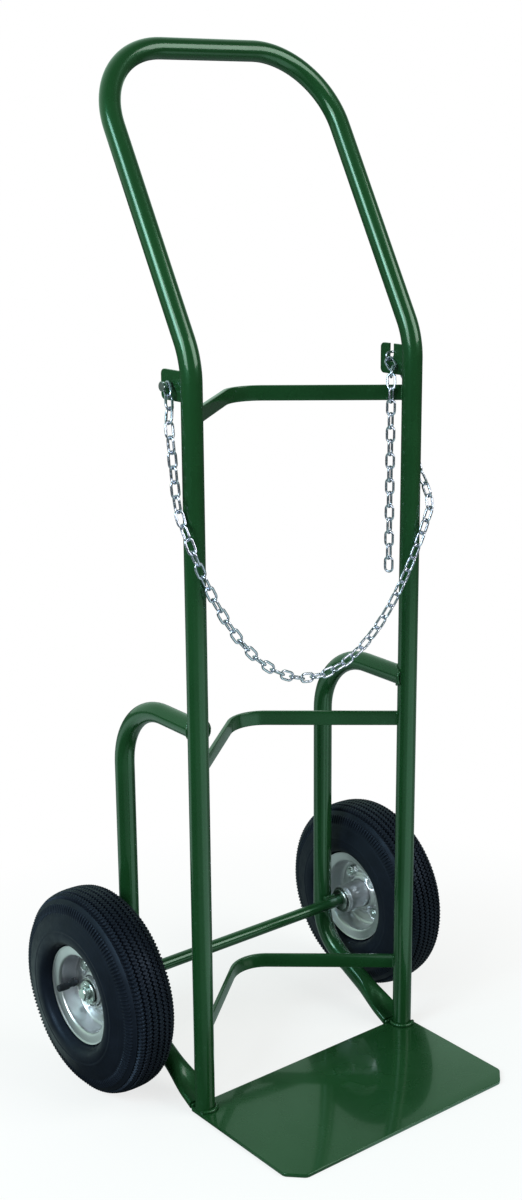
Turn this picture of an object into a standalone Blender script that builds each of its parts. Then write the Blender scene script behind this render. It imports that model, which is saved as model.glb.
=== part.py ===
"""Two-wheel cylinder hand truck with a bent-tube frame, three V cradle bars and a chain.

Metres. +Z is up, the floor is Z = 0, the toe plate points along -Y and X = 0 is the
plane the frame is symmetric about. -X is the truck's left side.
"""
import math

import bmesh
import bpy
from mathutils import Matrix, Vector

# Fits
GAP = 0.0003              # air between neighbouring pieces
FINE = 0.0001             # overlap depth that joins two chain links of one group

# Main frame: one 25 mm tube from foot to foot
TUBE_R = 0.0125
TUBE_WALL = 0.0018
TUBE_SIDES = 16
BRACE_SIDES = 12
UPRIGHT_X = 0.168
BEND_Z = 0.9345
BEND_R = 0.100
HANDLE_TILT = math.radians(28.75)
HANDLE_LEN = 0.3843
CORNER_R = 0.100
BEND_STEPS = 4

# Toe plate
PLATE_HALF_W = 0.1817
PLATE_FRONT_Y = -0.1910
PLATE_REAR_Y = 0.0119
PLATE_T = 0.0048
PLATE_CHAMFER = 0.020
PLATE_EDGE = 0.0008

# Cradle bars: 19 x 5 mm flat bar bent to a V
BAR_H = 0.0190
BAR_T = 0.0050
BAR_Y = 0.0045
BAR_DEPTH = 0.1416
BAR_BEND_R = 0.046
BAR_EDGE = 0.0006
TOP_BAR_Z = 0.8672
MIDDLE_BAR_Z = 0.4431
LOWER_BAR_Z = 0.0952

# Braces: the same tube, crushed flat at the foot
BRACE_X = 0.1641
BRACE_Y = 0.1620
BRACE_TOP_Z = 0.5045
BRACE_TOP_R = 0.086
BRACE_LOW_R = 0.067
BRACE_KNEE_Z = 0.0800
BRACE_FOOT = (0.0129, 0.0067)   # its end is cut upright, behind the plate and upright
FLAT_HALF_W = 0.0185
FLAT_HALF_T = 0.0042
FLAT_LEN = 0.018
FLARE_LEN = 0.048

# Axle and wheels
AXLE_R = 0.00795
AXLE_Y = 0.1412
AXLE_Z = 0.1320
AXLE_END = 0.0262
WHEEL_X = 0.2278
RIM_T = 0.0016
WHEEL_SEGMENTS = 28
RIM_SEGMENTS = 20
HUB_SEGMENTS = 20
RING_SEGMENTS = 16
HUB_R = 0.0190
HUB_IN = -0.0468
HUB_OUT = 0.0150
BOLT_CIRCLE_R = 0.035
RIM_BOLTS = 4
STEM_R = 0.0034
STEM_X = 0.0075
STEM_BEND_R = 0.0414
STEM_TIP = 0.0360
STEM_TURN = math.radians(-8.0)
COTTER_X = 0.0214
COTTER_HOLE_R = 0.0019

# Chain plates behind the uprights
LUG_Y = (0.0128, 0.0559)
LUG_Z = (0.8869, 0.9245)
LUG_HALF_T = 0.0017
LUG_CORNER_R = 0.006
LUG_TOP_SET_BACK = 0.0016   # follows the start of the upright's bend
LUG_BEND_Z = 0.9075
LEFT_LUG_DROP = 0.0030      # the left plate's top is this much lower
SLOT_HALF_W = 0.0042

# Retaining chain
WIRE_R = 0.0018
WIRE_SIDES = 4
WIRE_FLAT = WIRE_R * math.cos(math.pi / WIRE_SIDES)
LINK_END = 0.0095
LINK_SIDE = 0.0050
LINK_END_FLAT = 0.0021
LINK_STRAIGHT = 0.0056
PITCH = 2.0 * (LINK_END - WIRE_FLAT + FINE)
GROUP_STEP = 0.0012       # pull-back that leaves a gap where two chain groups hook together
PIVOT_Y = 0.0365
PIVOT_Z = 0.9040
ANCHOR_X = 0.1755
TAIL_X = 0.1628
CHAIN_BOLT_R = 0.0027
LEAD_LINKS = 12
LEAD_BEHIND = math.radians(8.5)   # how far back the right lead hangs
SWAG_LINKS = 33
TAIL_LINKS = (4, 6, 7)

X_AXIS = Vector((1.0, 0.0, 0.0))
Y_AXIS = Vector((0.0, 1.0, 0.0))
Z_AXIS = Vector((0.0, 0.0, 1.0))
STEM_ARM = Vector((0.0, math.cos(STEM_TURN), math.sin(STEM_TURN)))
SMOOTH_ANGLE = math.radians(38)


# ---------------------------------------------------------------- general tools

def clear_scene():
    for obj in list(bpy.data.objects):
        bpy.data.objects.remove(obj, do_unlink=True)


def make_material(name, colour, metallic, roughness):
    mat = bpy.data.materials.new(name)
    mat.use_nodes = True
    shader = mat.node_tree.nodes["Principled BSDF"]
    shader.inputs["Base Color"].default_value = (*colour, 1.0)
    shader.inputs["Metallic"].default_value = metallic
    shader.inputs["Roughness"].default_value = roughness
    return mat


def make_object(name, bm, look, origin=(0.0, 0.0, 0.0)):
    """Turn a bmesh built in world space into a named object with its origin at origin."""
    bmesh.ops.translate(bm, verts=bm.verts, vec=-Vector(origin))
    bmesh.ops.recalc_face_normals(bm, faces=bm.faces)
    mesh = bpy.data.meshes.new(name)
    bm.to_mesh(mesh)
    bm.free()
    obj = bpy.data.objects.new(name, mesh)
    obj.location = origin
    bpy.context.scene.collection.objects.link(obj)
    mesh.materials.append(make_material(name + "_look", *LOOKS[look]))
    set_shading(mesh)
    return obj


def set_shading(mesh):
    mesh.shade_smooth()
    mesh.set_sharp_from_angle(angle=SMOOTH_ANGLE)


def boolean(obj, tool, operation):
    """Apply one exact Boolean to obj and remove the tool."""
    bpy.context.view_layer.update()
    mod = obj.modifiers.new(operation, "BOOLEAN")
    mod.operation = operation
    mod.solver = "EXACT"
    mod.object = tool
    tool.display_type = "WIRE"
    tool.hide_render = True
    graph = bpy.context.evaluated_depsgraph_get()
    mesh = bpy.data.meshes.new_from_object(obj.evaluated_get(graph))
    obj.modifiers.clear()
    obj.data = mesh
    set_shading(mesh)
    bpy.data.objects.remove(tool, do_unlink=True)


def skin(bm, rings, closed=False):
    """Join rings of equal length with quads; closed also joins the last to the first."""
    count = len(rings[0])
    pairs = list(zip(rings, rings[1:]))
    if closed:
        pairs.append((rings[-1], rings[0]))
    for low, high in pairs:
        for i in range(count):
            j = (i + 1) % count
            bm.faces.new((low[i], low[j], high[j], high[i]))


def add_ring(bm, centre, u, v, section):
    return [bm.verts.new(centre + a * u + b * v) for a, b in section]


def circle(radius, sides, phase=0.5):
    step = 2.0 * math.pi / sides
    return [(radius * math.cos((i + phase) * step), radius * math.sin((i + phase) * step))
            for i in range(sides)]


def hexagon(corner_r, sides=12):
    """Points on a hexagon: its corners, and with twelve sides also their middles."""
    flat_r = corner_r * math.cos(math.pi / 6)
    step = 2.0 * math.pi / sides
    radii = [flat_r if sides == 12 and i % 2 else corner_r for i in range(sides)]
    return [(r * math.cos(i * step), r * math.sin(i * step)) for i, r in enumerate(radii)]


def round_corners(points, radii, steps):
    """Replace each inner point of an open path by an arc of its own radius."""
    path = [Vector(points[0])]
    for i in range(1, len(points) - 1):
        corner = Vector(points[i])
        back = (Vector(points[i - 1]) - corner).normalized()
        ahead = (Vector(points[i + 1]) - corner).normalized()
        half = back.angle(ahead) / 2.0
        reach = radii[i - 1] / math.tan(half)
        centre = corner + (back + ahead).normalized() * (radii[i - 1] / math.sin(half))
        start = corner + back * reach - centre
        end = corner + ahead * reach - centre
        axis = start.cross(end).normalized()
        sweep = start.angle(end)
        for k in range(steps + 1):
            path.append(centre + Matrix.Rotation(sweep * k / steps, 3, axis) @ start)
    path.append(Vector(points[-1]))
    return path


def frames_along(path, first_u, closed=False):
    """Centre, u and v at each path point, carried along without twist."""
    frames = []
    u = Vector(first_u)
    count = len(path)
    for i, point in enumerate(path):
        before = path[i - 1] if (i > 0 or closed) else None
        after = path[(i + 1) % count] if (i < count - 1 or closed) else None
        tangent = Vector((0.0, 0.0, 0.0))
        if before is not None:
            tangent += (point - before).normalized()
        if after is not None:
            tangent += (after - point).normalized()
        tangent.normalize()
        u = (u - tangent * u.dot(tangent)).normalized()
        frames.append((point, u.copy(), tangent.cross(u)))
    return frames


def sweep_solid(bm, frames, sections, inner=None):
    """Sweep one section per frame; inner sections make the sweep an open-ended tube."""
    outer = [add_ring(bm, *frame, section) for frame, section in zip(frames, sections)]
    skin(bm, outer)
    if inner is None:
        bm.faces.new(outer[0])
        bm.faces.new(outer[-1])
        return
    bore = [add_ring(bm, *frame, section) for frame, section in zip(frames, inner)]
    skin(bm, bore)
    skin(bm, [outer[0], bore[0]])
    skin(bm, [outer[-1], bore[-1]])


def sweep_same(bm, path, first_u, section, inner=None):
    frames = frames_along(path, first_u)
    bores = None if inner is None else [inner] * len(frames)
    sweep_solid(bm, frames, [section] * len(frames), bores)


def turn_stations(bm, centre, axis_sign, stations):
    """Stack sections along X: stations are (distance outboard, section)."""
    rings = []
    for along, section in stations:
        point = Vector(centre) + X_AXIS * axis_sign * along
        rings.append(add_ring(bm, point, Y_AXIS, Z_AXIS, section))
    skin(bm, rings)
    bm.faces.new(rings[0])
    bm.faces.new(rings[-1])


def lathe(bm, profile, segments, side):
    """Turn a closed (radius, distance outboard) profile about the wheel axis."""
    rings = []
    for k in range(segments):
        angle = 2.0 * math.pi * k / segments
        radial = Vector((0.0, math.cos(angle), math.sin(angle)))
        rings.append([bm.verts.new(wheel_centre(side) + radial * r + X_AXIS * side * x)
                      for r, x in profile])
    skin(bm, rings, closed=True)


def offset_path(points, distance):
    """Shift an open 2D path sideways by distance, with mitred corners."""
    shifted = []
    last = len(points) - 1
    for i, point in enumerate(points):
        here = Vector(point)
        normals = []
        if i > 0:
            step = (here - Vector(points[i - 1])).normalized()
            normals.append(Vector((-step.y, step.x)))
        if i < last:
            step = (Vector(points[i + 1]) - here).normalized()
            normals.append(Vector((-step.y, step.x)))
        total = sum(normals, Vector((0.0, 0.0)))
        total.normalize()
        shifted.append(tuple(here + total * (distance / total.dot(normals[0]))))
    return shifted


def sheet_profile(points, thickness):
    """A closed profile of constant thickness about an open path."""
    half = thickness / 2.0
    return offset_path(points, half) + offset_path(points, -half)[::-1]


def wheel_centre(side):
    return Vector((side * WHEEL_X, AXLE_Y, AXLE_Z))


# ---------------------------------------------------------------- frame

def build_main_tube():
    top_y = HANDLE_LEN * math.sin(HANDLE_TILT)
    top_z = BEND_Z + HANDLE_LEN * math.cos(HANDLE_TILT)
    foot_z = PLATE_T + GAP
    corners = [(-UPRIGHT_X, 0.0, foot_z), (-UPRIGHT_X, 0.0, BEND_Z),
               (-UPRIGHT_X, top_y, top_z), (UPRIGHT_X, top_y, top_z),
               (UPRIGHT_X, 0.0, BEND_Z), (UPRIGHT_X, 0.0, foot_z)]
    path = round_corners(corners, [BEND_R, CORNER_R, CORNER_R, BEND_R], BEND_STEPS)
    bm = bmesh.new()
    sweep_same(bm, path, X_AXIS, circle(TUBE_R, TUBE_SIDES),
               circle(TUBE_R - TUBE_WALL, TUBE_SIDES))
    make_object("main_frame_tube", bm, "green")


def build_toe_plate():
    small, large, arc = 0.003, 0.010, 4
    outline = [(-PLATE_HALF_W, PLATE_REAR_Y, small),
               (-PLATE_HALF_W, PLATE_FRONT_Y + PLATE_CHAMFER, large),
               (-PLATE_HALF_W + PLATE_CHAMFER, PLATE_FRONT_Y, large),
               (PLATE_HALF_W - PLATE_CHAMFER, PLATE_FRONT_Y, large),
               (PLATE_HALF_W, PLATE_FRONT_Y + PLATE_CHAMFER, large),
               (PLATE_HALF_W, PLATE_REAR_Y, small)]
    full = rounded_outline(outline, arc)
    inset = rounded_outline(outline, arc, PLATE_EDGE)
    levels = [(0.0, inset), (PLATE_EDGE, full), (PLATE_T - PLATE_EDGE, full), (PLATE_T, inset)]
    bm = bmesh.new()
    rings = [[bm.verts.new((x, y, z)) for x, y in shape] for z, shape in levels]
    skin(bm, rings)
    bm.faces.new(rings[0])
    bm.faces.new(rings[-1])
    make_object("toe_plate", bm, "green")


def rounded_outline(corners, steps, inset=0.0):
    """A closed convex outline; each corner is (x, y, radius); inset shrinks it evenly."""
    shape = []
    count = len(corners)
    for i, (x, y, radius) in enumerate(corners):
        here = Vector((x, y))
        back = (Vector(corners[i - 1][:2]) - here).normalized()
        ahead = (Vector(corners[(i + 1) % count][:2]) - here).normalized()
        half = back.angle(ahead) / 2.0
        centre = here + (back + ahead).normalized() * (radius / math.sin(half))
        start = here + back * (radius / math.tan(half)) - centre
        sweep = start.angle_signed(here + ahead * (radius / math.tan(half)) - centre)
        for k in range(steps + 1):
            arm = Matrix.Rotation(-sweep * k / steps, 2) @ start
            shape.append(tuple(centre + arm * ((radius - inset) / radius)))
    return shape


def build_cradle_bar(name, z):
    """A V of flat bar whose legs start at the uprights and meet behind them."""
    apex = Vector((0.0, BAR_Y + BAR_DEPTH, z))
    foot = Vector((UPRIGHT_X, BAR_Y, z))
    leg = (apex - foot).normalized()
    start = foot + leg * (TUBE_R + 2.0 * GAP)
    mirrored = Vector((-start.x, start.y, z))
    path = round_corners([start, apex, mirrored], [BAR_BEND_R], 8)
    t, h, e = BAR_T / 2.0, BAR_H / 2.0, BAR_EDGE
    section = [(h - e, t), (e - h, t), (-h, t - e), (-h, e - t),
               (e - h, -t), (h - e, -t), (h, e - t), (h, t - e)]
    bm = bmesh.new()
    sweep_same(bm, path, Z_AXIS, section)
    make_object(name, bm, "green")


def flattened(radius, half_w, half_t, blend):
    """A circle that blends into a flat oval; u is across the truck, v is the thickness."""
    sides = BRACE_SIDES
    shape = []
    for i in range(sides):
        angle = 2.0 * math.pi * (i + 0.5) / sides
        c, s = math.cos(angle), math.sin(angle)
        flat_c = math.copysign(abs(c) ** 0.9, c) * half_w
        flat_s = math.copysign(min(1.0, abs(s) * 2.2), s) * half_t
        shape.append((radius * c * (1.0 - blend) + flat_c * blend,
                      radius * s * (1.0 - blend) + flat_s * blend))
    return shape


def build_brace(name, side):
    x = side * BRACE_X
    foot = Vector((x, *BRACE_FOOT))
    knee = Vector((x, BRACE_Y, BRACE_KNEE_Z))
    run = (foot - knee).normalized()
    crushed = foot - run * FLAT_LEN
    flare = crushed - run * FLARE_LEN
    top = [Vector((x, 0.0040, BRACE_TOP_Z - 0.003)), Vector((x, BRACE_Y, BRACE_TOP_Z))]
    bend = round_corners([top[0], top[1], knee, foot], [BRACE_TOP_R, BRACE_LOW_R], 4)
    path = bend[:-1] + [flare, (flare + crushed) / 2.0, crushed, foot]
    blends = [0.0] * len(bend) + [0.55, 1.0, 1.0]
    inner_r = TUBE_R - TUBE_WALL
    wall = TUBE_WALL
    outer = [flattened(TUBE_R, FLAT_HALF_W, FLAT_HALF_T, b) for b in blends]
    inner = [flattened(inner_r, FLAT_HALF_W - wall, FLAT_HALF_T - wall, b) for b in blends]
    bm = bmesh.new()
    sweep_solid(bm, frames_along(path, X_AXIS), outer, inner)
    for v in bm.verts:
        if (v.co - foot).dot(run) > -FINE:
            v.co += run * ((foot.y - v.co.y) / run.y)
    obj = make_object(name, bm, "green")
    cope = bmesh.new()
    upright = [Vector((side * UPRIGHT_X, 0.0, BRACE_TOP_Z + dz)) for dz in (-0.05, 0.05)]
    sweep_same(cope, upright, X_AXIS, circle(TUBE_R + GAP, 2 * TUBE_SIDES))
    boolean(obj, make_object("cope_tool", cope, "green"), "DIFFERENCE")


def build_axle():
    half = WHEEL_X + AXLE_END
    chamfer = 0.0012
    full = circle(AXLE_R, 16)
    small = circle(AXLE_R - chamfer, 16)
    bm = bmesh.new()
    turn_stations(bm, (0.0, AXLE_Y, AXLE_Z), 1, [(-half, small), (chamfer - half, full),
                                                 (half - chamfer, full), (half, small)])
    obj = make_object("axle", bm, "green")
    for side in (-1, 1):
        tool = bmesh.new()
        x = side * (WHEEL_X + COTTER_X)
        ends = [Vector((x, AXLE_Y, AXLE_Z + dz)) for dz in (-0.012, 0.012)]
        sweep_same(tool, ends, X_AXIS, circle(COTTER_HOLE_R, 12))
        boolean(obj, make_object("cotter_hole_tool", tool, "green"), "DIFFERENCE")


def build_foot_weld(name, side):
    """Weld bead round the front and inner side of an upright's foot."""
    bead = 0.0024
    radius = TUBE_R + GAP + bead
    z = PLATE_T + GAP + bead * math.cos(math.pi / 6)
    start, end, steps = math.radians(50), math.radians(-125), 10
    path = []
    for k in range(steps + 1):
        angle = start + (end - start) * k / steps
        path.append(Vector((side * (UPRIGHT_X + radius * math.sin(angle)),
                            -radius * math.cos(angle), z)))
    bm = bmesh.new()
    sweep_same(bm, path, Z_AXIS, circle(bead, 6))
    make_object(name, bm, "green")


# ---------------------------------------------------------------- chain plates and bolt

def lug_outline(with_slot):
    """The plate's outline in (y, z), walked from its front lower corner."""
    y0, y1 = LUG_Y
    z0, z1 = LUG_Z
    if not with_slot:
        z1 -= LEFT_LUG_DROP
    r, steps = LUG_CORNER_R, 4
    shape = [(y0, z0)]
    for cy, cz, begin in ((y1 - r, z0 + r, -90), (y1 - r, z1 - r, 0)):
        for k in range(steps + 1):
            angle = math.radians(begin + 90.0 * k / steps)
            shape.append((cy + r * math.cos(angle), cz + r * math.sin(angle)))
    if with_slot:
        w = SLOT_HALF_W
        floor_z = PIVOT_Z - WIRE_R - GAP
        shape.append((PIVOT_Y + w, z1))
        for k in range(steps + 1):
            angle = math.radians(-180.0 * k / steps)
            shape.append((PIVOT_Y + w * math.cos(angle), floor_z + w + w * math.sin(angle)))
        shape.append((PIVOT_Y - w, z1))
    shape += [(y0 + LUG_TOP_SET_BACK, z1), (y0, LUG_BEND_Z)]
    return shape


def build_lug(name, side, with_slot):
    bm = bmesh.new()
    rings = []
    for x in (-LUG_HALF_T, LUG_HALF_T):
        rings.append([bm.verts.new((side * UPRIGHT_X + x, y, z))
                      for y, z in lug_outline(with_slot)])
    skin(bm, rings)
    bm.faces.new(rings[0])
    bm.faces.new(rings[1])
    obj = make_object(name, bm, "green")
    if not with_slot:
        tool = bmesh.new()
        turn_stations(tool, (side * UPRIGHT_X, PIVOT_Y, PIVOT_Z), 1,
                      [(-0.01, circle(CHAIN_BOLT_R + GAP * 1.5, 16)),
                       (0.01, circle(CHAIN_BOLT_R + GAP * 1.5, 16))])
        boolean(obj, make_object("bolt_hole_tool", tool, "green"), "DIFFERENCE")


def build_chain_bolt():
    """Hex bolt with its head outboard and its shank through the left plate."""
    shank = circle(CHAIN_BOLT_R, 12)
    head = hexagon(0.0062)
    bm = bmesh.new()
    turn_stations(bm, (-UPRIGHT_X, PIVOT_Y, PIVOT_Z), -1,
                  [(0.0152, hexagon(0.0054)), (0.0146, head), (0.0108, head),
                   (0.0108, shank), (-0.0105, shank)])
    make_object("chain_bolt", bm, "zinc")


def build_chain_nut():
    bore = circle(CHAIN_BOLT_R + GAP, 12)
    body = hexagon(0.0060)
    bm = bmesh.new()
    near, far = -LUG_HALF_T - GAP, -LUG_HALF_T - GAP - 0.0050
    rings = []
    for along, section in ((near, body), (far, body), (far, bore), (near, bore)):
        point = Vector((-UPRIGHT_X - along, PIVOT_Y, PIVOT_Z))
        rings.append(add_ring(bm, point, Y_AXIS, Z_AXIS, section))
    skin(bm, rings, closed=True)
    make_object("chain_nut", bm, "zinc")


# ---------------------------------------------------------------- chain

def smooth_path(points, rounds=3):
    """Cut the corners of a path a few times, keeping its ends."""
    path = [Vector(p) for p in points]
    for _ in range(rounds):
        cut = [path[0]]
        for a, b in zip(path, path[1:]):
            cut.append(a.lerp(b, 0.25))
            cut.append(a.lerp(b, 0.75))
        cut.append(path[-1])
        path = cut
    return path


def point_at(path, distance):
    left = distance
    for a, b in zip(path, path[1:]):
        length = (b - a).length
        if left <= length:
            return a + (b - a) * (left / length)
        left -= length
    return path[-1] + (path[-1] - path[-2]).normalized() * left


def step_along(path, start, count):
    """Joints at one pitch from each other along a path; returns them and the distance used."""
    joints = [point_at(path, start)]
    at = start
    for _ in range(count):
        low, high = at, at + 2.0 * PITCH
        for _ in range(50):
            middle = (low + high) / 2.0
            if (point_at(path, middle) - joints[-1]).length < PITCH:
                low = middle
            else:
                high = middle
        at = high
        joints.append(point_at(path, at))
    return joints, at


def add_link(bm, start, end, wide_in_path):
    """One link from joint to joint; wide_in_path lies across Y, the other kind along Y."""
    tangent = (end - start).normalized()
    along_y = (Y_AXIS - tangent * Y_AXIS.dot(tangent)).normalized()
    wide = along_y.cross(tangent) if wide_in_path else along_y
    normal = tangent.cross(wide)
    centre = (start + end) / 2.0
    corners = [(LINK_STRAIGHT, LINK_SIDE), (LINK_END, LINK_END_FLAT),
               (LINK_END, -LINK_END_FLAT), (LINK_STRAIGHT, -LINK_SIDE)]
    corners += [(-a, -b) for a, b in corners]
    loop = [centre + tangent * a + wide * b for a, b in corners]
    frames = frames_along(loop, normal, closed=True)
    section = circle(WIRE_R, WIRE_SIDES)
    rings = []
    for point, _, _ in frames:
        outward = frame_outward(point, loop)
        rings.append(add_ring(bm, point, normal, outward, section))
    skin(bm, rings, closed=True)


def frame_outward(point, loop):
    """The mitred outward direction of a convex loop at one of its points."""
    i = loop.index(point)
    back = (point - loop[i - 1]).normalized()
    ahead = (loop[(i + 1) % len(loop)] - point).normalized()
    bisector = (back - ahead).normalized()
    return bisector / math.sqrt((1.0 + back.dot(ahead)) / 2.0)


def build_links(name, joints, first_wide, origin):
    """Join a run of hooked links into one solid body."""
    parity = [bmesh.new(), bmesh.new()]
    for i, (a, b) in enumerate(zip(joints, joints[1:])):
        add_link(parity[i % 2], a, b, (i % 2 == 0) == first_wide)
    obj = make_object(name, parity[0], "zinc", origin)
    boolean(obj, make_object("link_tool", parity[1], "zinc", origin), "UNION")


def mirrored(points):
    return [Vector((-p.x, p.y, p.z)) for p in points]


def lead_joints(behind, bulge):
    """One lead, for the right side: from the slot link down past the upright to its front.

    behind swings the upper run back about the pivot, bulge bows it forward and outward.
    """
    pivot = Vector((ANCHOR_X, PIVOT_Y, PIVOT_Z))
    clear = CHAIN_BOLT_R + 0.0010
    turn = Matrix.Rotation(behind, 3, "X")
    drop = (turn @ Vector((0.24, -0.60, -0.76))).normalized()
    bow = Vector((0.62, -0.78, 0.0)) * bulge
    points = [pivot - drop * clear, pivot + drop * 0.022]
    for point, share in (((0.1884, 0.0170, 0.8700), 1.0), ((0.1893, 0.0105, 0.8400), 1.0),
                         ((0.1891, 0.0069, 0.8031), 0.75), ((0.1890, 0.0020, 0.7680), 0.35)):
        arm = Vector(point) - pivot
        points.append(pivot + Matrix.Rotation(behind * share, 3, "X") @ arm + bow * share)
    path = smooth_path(points + [(0.1882, -0.0100, 0.7450), (0.1850, -0.0203, 0.7270),
                                 (0.1790, -0.0203, 0.6900)])
    joints, _ = step_along(path, 0.0, LEAD_LINKS)
    return joints


def matched_leads():
    """Right and left lead joints; the left one bows until both end at one height."""
    right = lead_joints(LEAD_BEHIND, 0.0)
    low, high = 0.0, 0.040
    for _ in range(40):
        bulge = (low + high) / 2.0
        if lead_joints(0.0, bulge)[-1].z < right[-1].z:
            low = bulge
        else:
            high = bulge
    return right, mirrored(lead_joints(0.0, bulge))


def swag_joints(start):
    """A hanging curve with equal chords between start and its mirror image."""
    span = abs(start.x)
    low, high = 0.05, 2.0
    for _ in range(60):
        curve = (low + high) / 2.0
        if hang(curve, span)[-1][0] < span:
            low = curve
        else:
            high = curve
    shape = hang(curve, span)
    top = math.cosh(span / curve) * curve
    return [Vector((x, start.y, start.z + h - top)) for x, h in shape]


def hang(curve, span):
    """Points one pitch apart on h = curve * cosh(x / curve), from x = -span."""
    points = [(-span, curve * math.cosh(-span / curve))]
    for _ in range(SWAG_LINKS):
        x0, h0 = points[-1]
        low, high = x0, x0 + 2.0 * PITCH
        for _ in range(50):
            x = (low + high) / 2.0
            h = curve * math.cosh(x / curve)
            if math.hypot(x - x0, h - h0) < PITCH:
                low = x
            else:
                high = x
        points.append((x, h))
    return points


def end_pin(joints):
    """Centre of the last link's end wire, which the next group hooks round."""
    run = (joints[-1] - joints[-2]).normalized()
    return joints[-1] + run * (WIRE_FLAT - FINE)


def build_slot_link():
    """The single link that sits in the right plate's slot."""
    centre = Vector((UPRIGHT_X, PIVOT_Y, PIVOT_Z + LINK_SIDE))
    reach = X_AXIS * (PITCH / 2.0)
    bm = bmesh.new()
    add_link(bm, centre - reach, centre + reach, True)
    make_object("chain_slot_link", bm, "zinc")


def build_chain():
    right, left = matched_leads()
    crossing = end_pin(right)
    pivot = (0.0, PIVOT_Y, PIVOT_Z)
    hinge = (0.0, crossing.y, crossing.z)
    build_links("chain_left_lead", left, False, pivot)
    build_links("chain_right_lead", right, False, hinge)
    run = (left[-1] - left[-2]).normalized()
    build_links("chain_swag", swag_joints(left[-1] - run * GROUP_STEP), False, hinge)
    build_slot_link()
    build_tail()


def build_tail():
    """The spare end: over the top bar's edge, then straight down in front of it."""
    pivot = Vector((TAIL_X, PIVOT_Y, PIVOT_Z))
    drop = Vector((-0.16, -0.75, -0.62)).normalized()
    path = smooth_path([pivot - drop * (WIRE_R + 0.0008), pivot + drop * 0.018,
                        (0.1470, 0.0160, 0.8915), (0.1440, 0.0110, 0.8780),
                        (0.1440, 0.0118, 0.8500), (0.1440, 0.0120, 0.6000)])
    at = 0.0
    origin = Vector((0.0, PIVOT_Y, PIVOT_Z))
    for name, count, wide in zip(("upper", "middle", "lower"), TAIL_LINKS, (False,) * 3):
        joints, at = step_along(path, at, count)
        build_links("chain_tail_" + name, joints, wide, origin)
        pin = end_pin(joints)
        origin = Vector((0.0, pin.y, pin.z))
        at -= GROUP_STEP


# ---------------------------------------------------------------- wheels

def build_tyre(tag, side):
    outside = [(0.1320, 0.0), (0.1313, 0.0115), (0.1291, 0.0200), (0.1245, 0.0262),
               (0.1170, 0.0312), (0.1060, 0.0355), (0.0950, 0.0392), (0.0860, 0.0416),
               (0.0790, 0.0424), (0.0730, 0.0414), (0.0690, 0.0380), (0.0664, 0.0320),
               (0.0655, 0.0272), (0.0620, 0.0250), (0.0536, 0.0243), (0.0524, 0.0226)]
    inside = [(0.0524, 0.0150), (0.0560, 0.0146), (0.0640, 0.0215), (0.0740, 0.0330),
              (0.0840, 0.0355), (0.0980, 0.0325), (0.1110, 0.0275), (0.1190, 0.0215),
              (0.1245, 0.0120)]
    half = outside + inside
    profile = half + [(0.1260, 0.0)] + [(r, -x) for r, x in half[:0:-1]]
    bm = bmesh.new()
    lathe(bm, profile, WHEEL_SEGMENTS, side)
    make_object(tag + "_tyre", bm, "rubber", wheel_centre(side))


def build_inner_tube(tag, side):
    """Hollow ring inside the tyre; a small hole at the valve opens it."""
    ahead = [(0.0532, 0.0), (0.0532, 0.0110), (0.0640, 0.0185), (0.0765, 0.0300),
             (0.0870, 0.0320), (0.0990, 0.0285), (0.1110, 0.0225), (0.1190, 0.0140),
             (0.1244, 0.0)]
    outline = ahead + [(r, -x) for r, x in ahead[-2:0:-1]]
    wall = 0.0012
    inner = shrink_loop(outline, wall)
    bm = bmesh.new()
    lathe(bm, outline, RIM_SEGMENTS, side)
    lathe(bm, inner, RIM_SEGMENTS, side)
    origin = wheel_centre(side)
    obj = make_object(tag + "_inner_tube", bm, "butyl", origin)
    hole = bmesh.new()
    ends = [origin + X_AXIS * (side * STEM_X * 0.5) + STEM_ARM * r for r in (0.0515, 0.0575)]
    sweep_same(hole, ends, X_AXIS, circle(0.0020, 10))
    boolean(obj, make_object("valve_hole_tool", hole, "butyl"), "DIFFERENCE")


def shrink_loop(loop, distance):
    """Move a closed clockwise-or-not loop inwards by distance."""
    centre_r = sum(r for r, _ in loop) / len(loop)
    moved = []
    for i, point in enumerate(loop):
        back = (Vector(point) - Vector(loop[i - 1])).normalized()
        ahead = (Vector(loop[(i + 1) % len(loop)]) - Vector(point)).normalized()
        normal = Vector((-(back + ahead).y, (back + ahead).x)).normalized()
        if normal.dot(Vector((centre_r, 0.0)) - Vector(point)) < 0.0:
            normal = -normal
        moved.append(tuple(Vector(point) + normal * distance))
    return moved


def build_rim_half(tag, side, outward):
    """Pressed steel half: curled flange, bead seat and centre disc."""
    path = [(0.0638, 0.0290), (0.0618, 0.0272), (0.0530, 0.0261), (0.0506, 0.0240),
            (0.0500, 0.0040), (0.0468, 0.00095), (0.0196, 0.00095)]
    profile = [(r, x * outward) for r, x in sheet_profile(path, RIM_T)]
    bm = bmesh.new()
    lathe(bm, profile, RIM_SEGMENTS, side)
    centre = wheel_centre(side)
    word = "outer" if outward > 0 else "inner"
    obj = make_object(tag + "_rim_" + word + "_half", bm, "zinc", centre)
    for k in range(RIM_BOLTS):
        tool = bmesh.new()
        at = bolt_centre(side, k)
        hole = circle(0.0043, 12)
        turn_stations(tool, at, side, [(-0.006, hole), (0.006, hole)])
        boolean(obj, make_object("rim_hole_tool", tool, "zinc"), "DIFFERENCE")
    if outward > 0:
        tool = bmesh.new()
        ends = [centre + X_AXIS * (side * STEM_X) + STEM_ARM * r for r in (0.0460, 0.0550)]
        sweep_same(tool, ends, X_AXIS, circle(STEM_R + 0.0005, 12))
        boolean(obj, make_object("stem_hole_tool", tool, "zinc"), "DIFFERENCE")


def bolt_centre(side, index):
    angle = math.radians(45.0 + 360.0 * index / RIM_BOLTS)
    arm = Vector((0.0, math.cos(angle), math.sin(angle))) * BOLT_CIRCLE_R
    return wheel_centre(side) + arm


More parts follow.
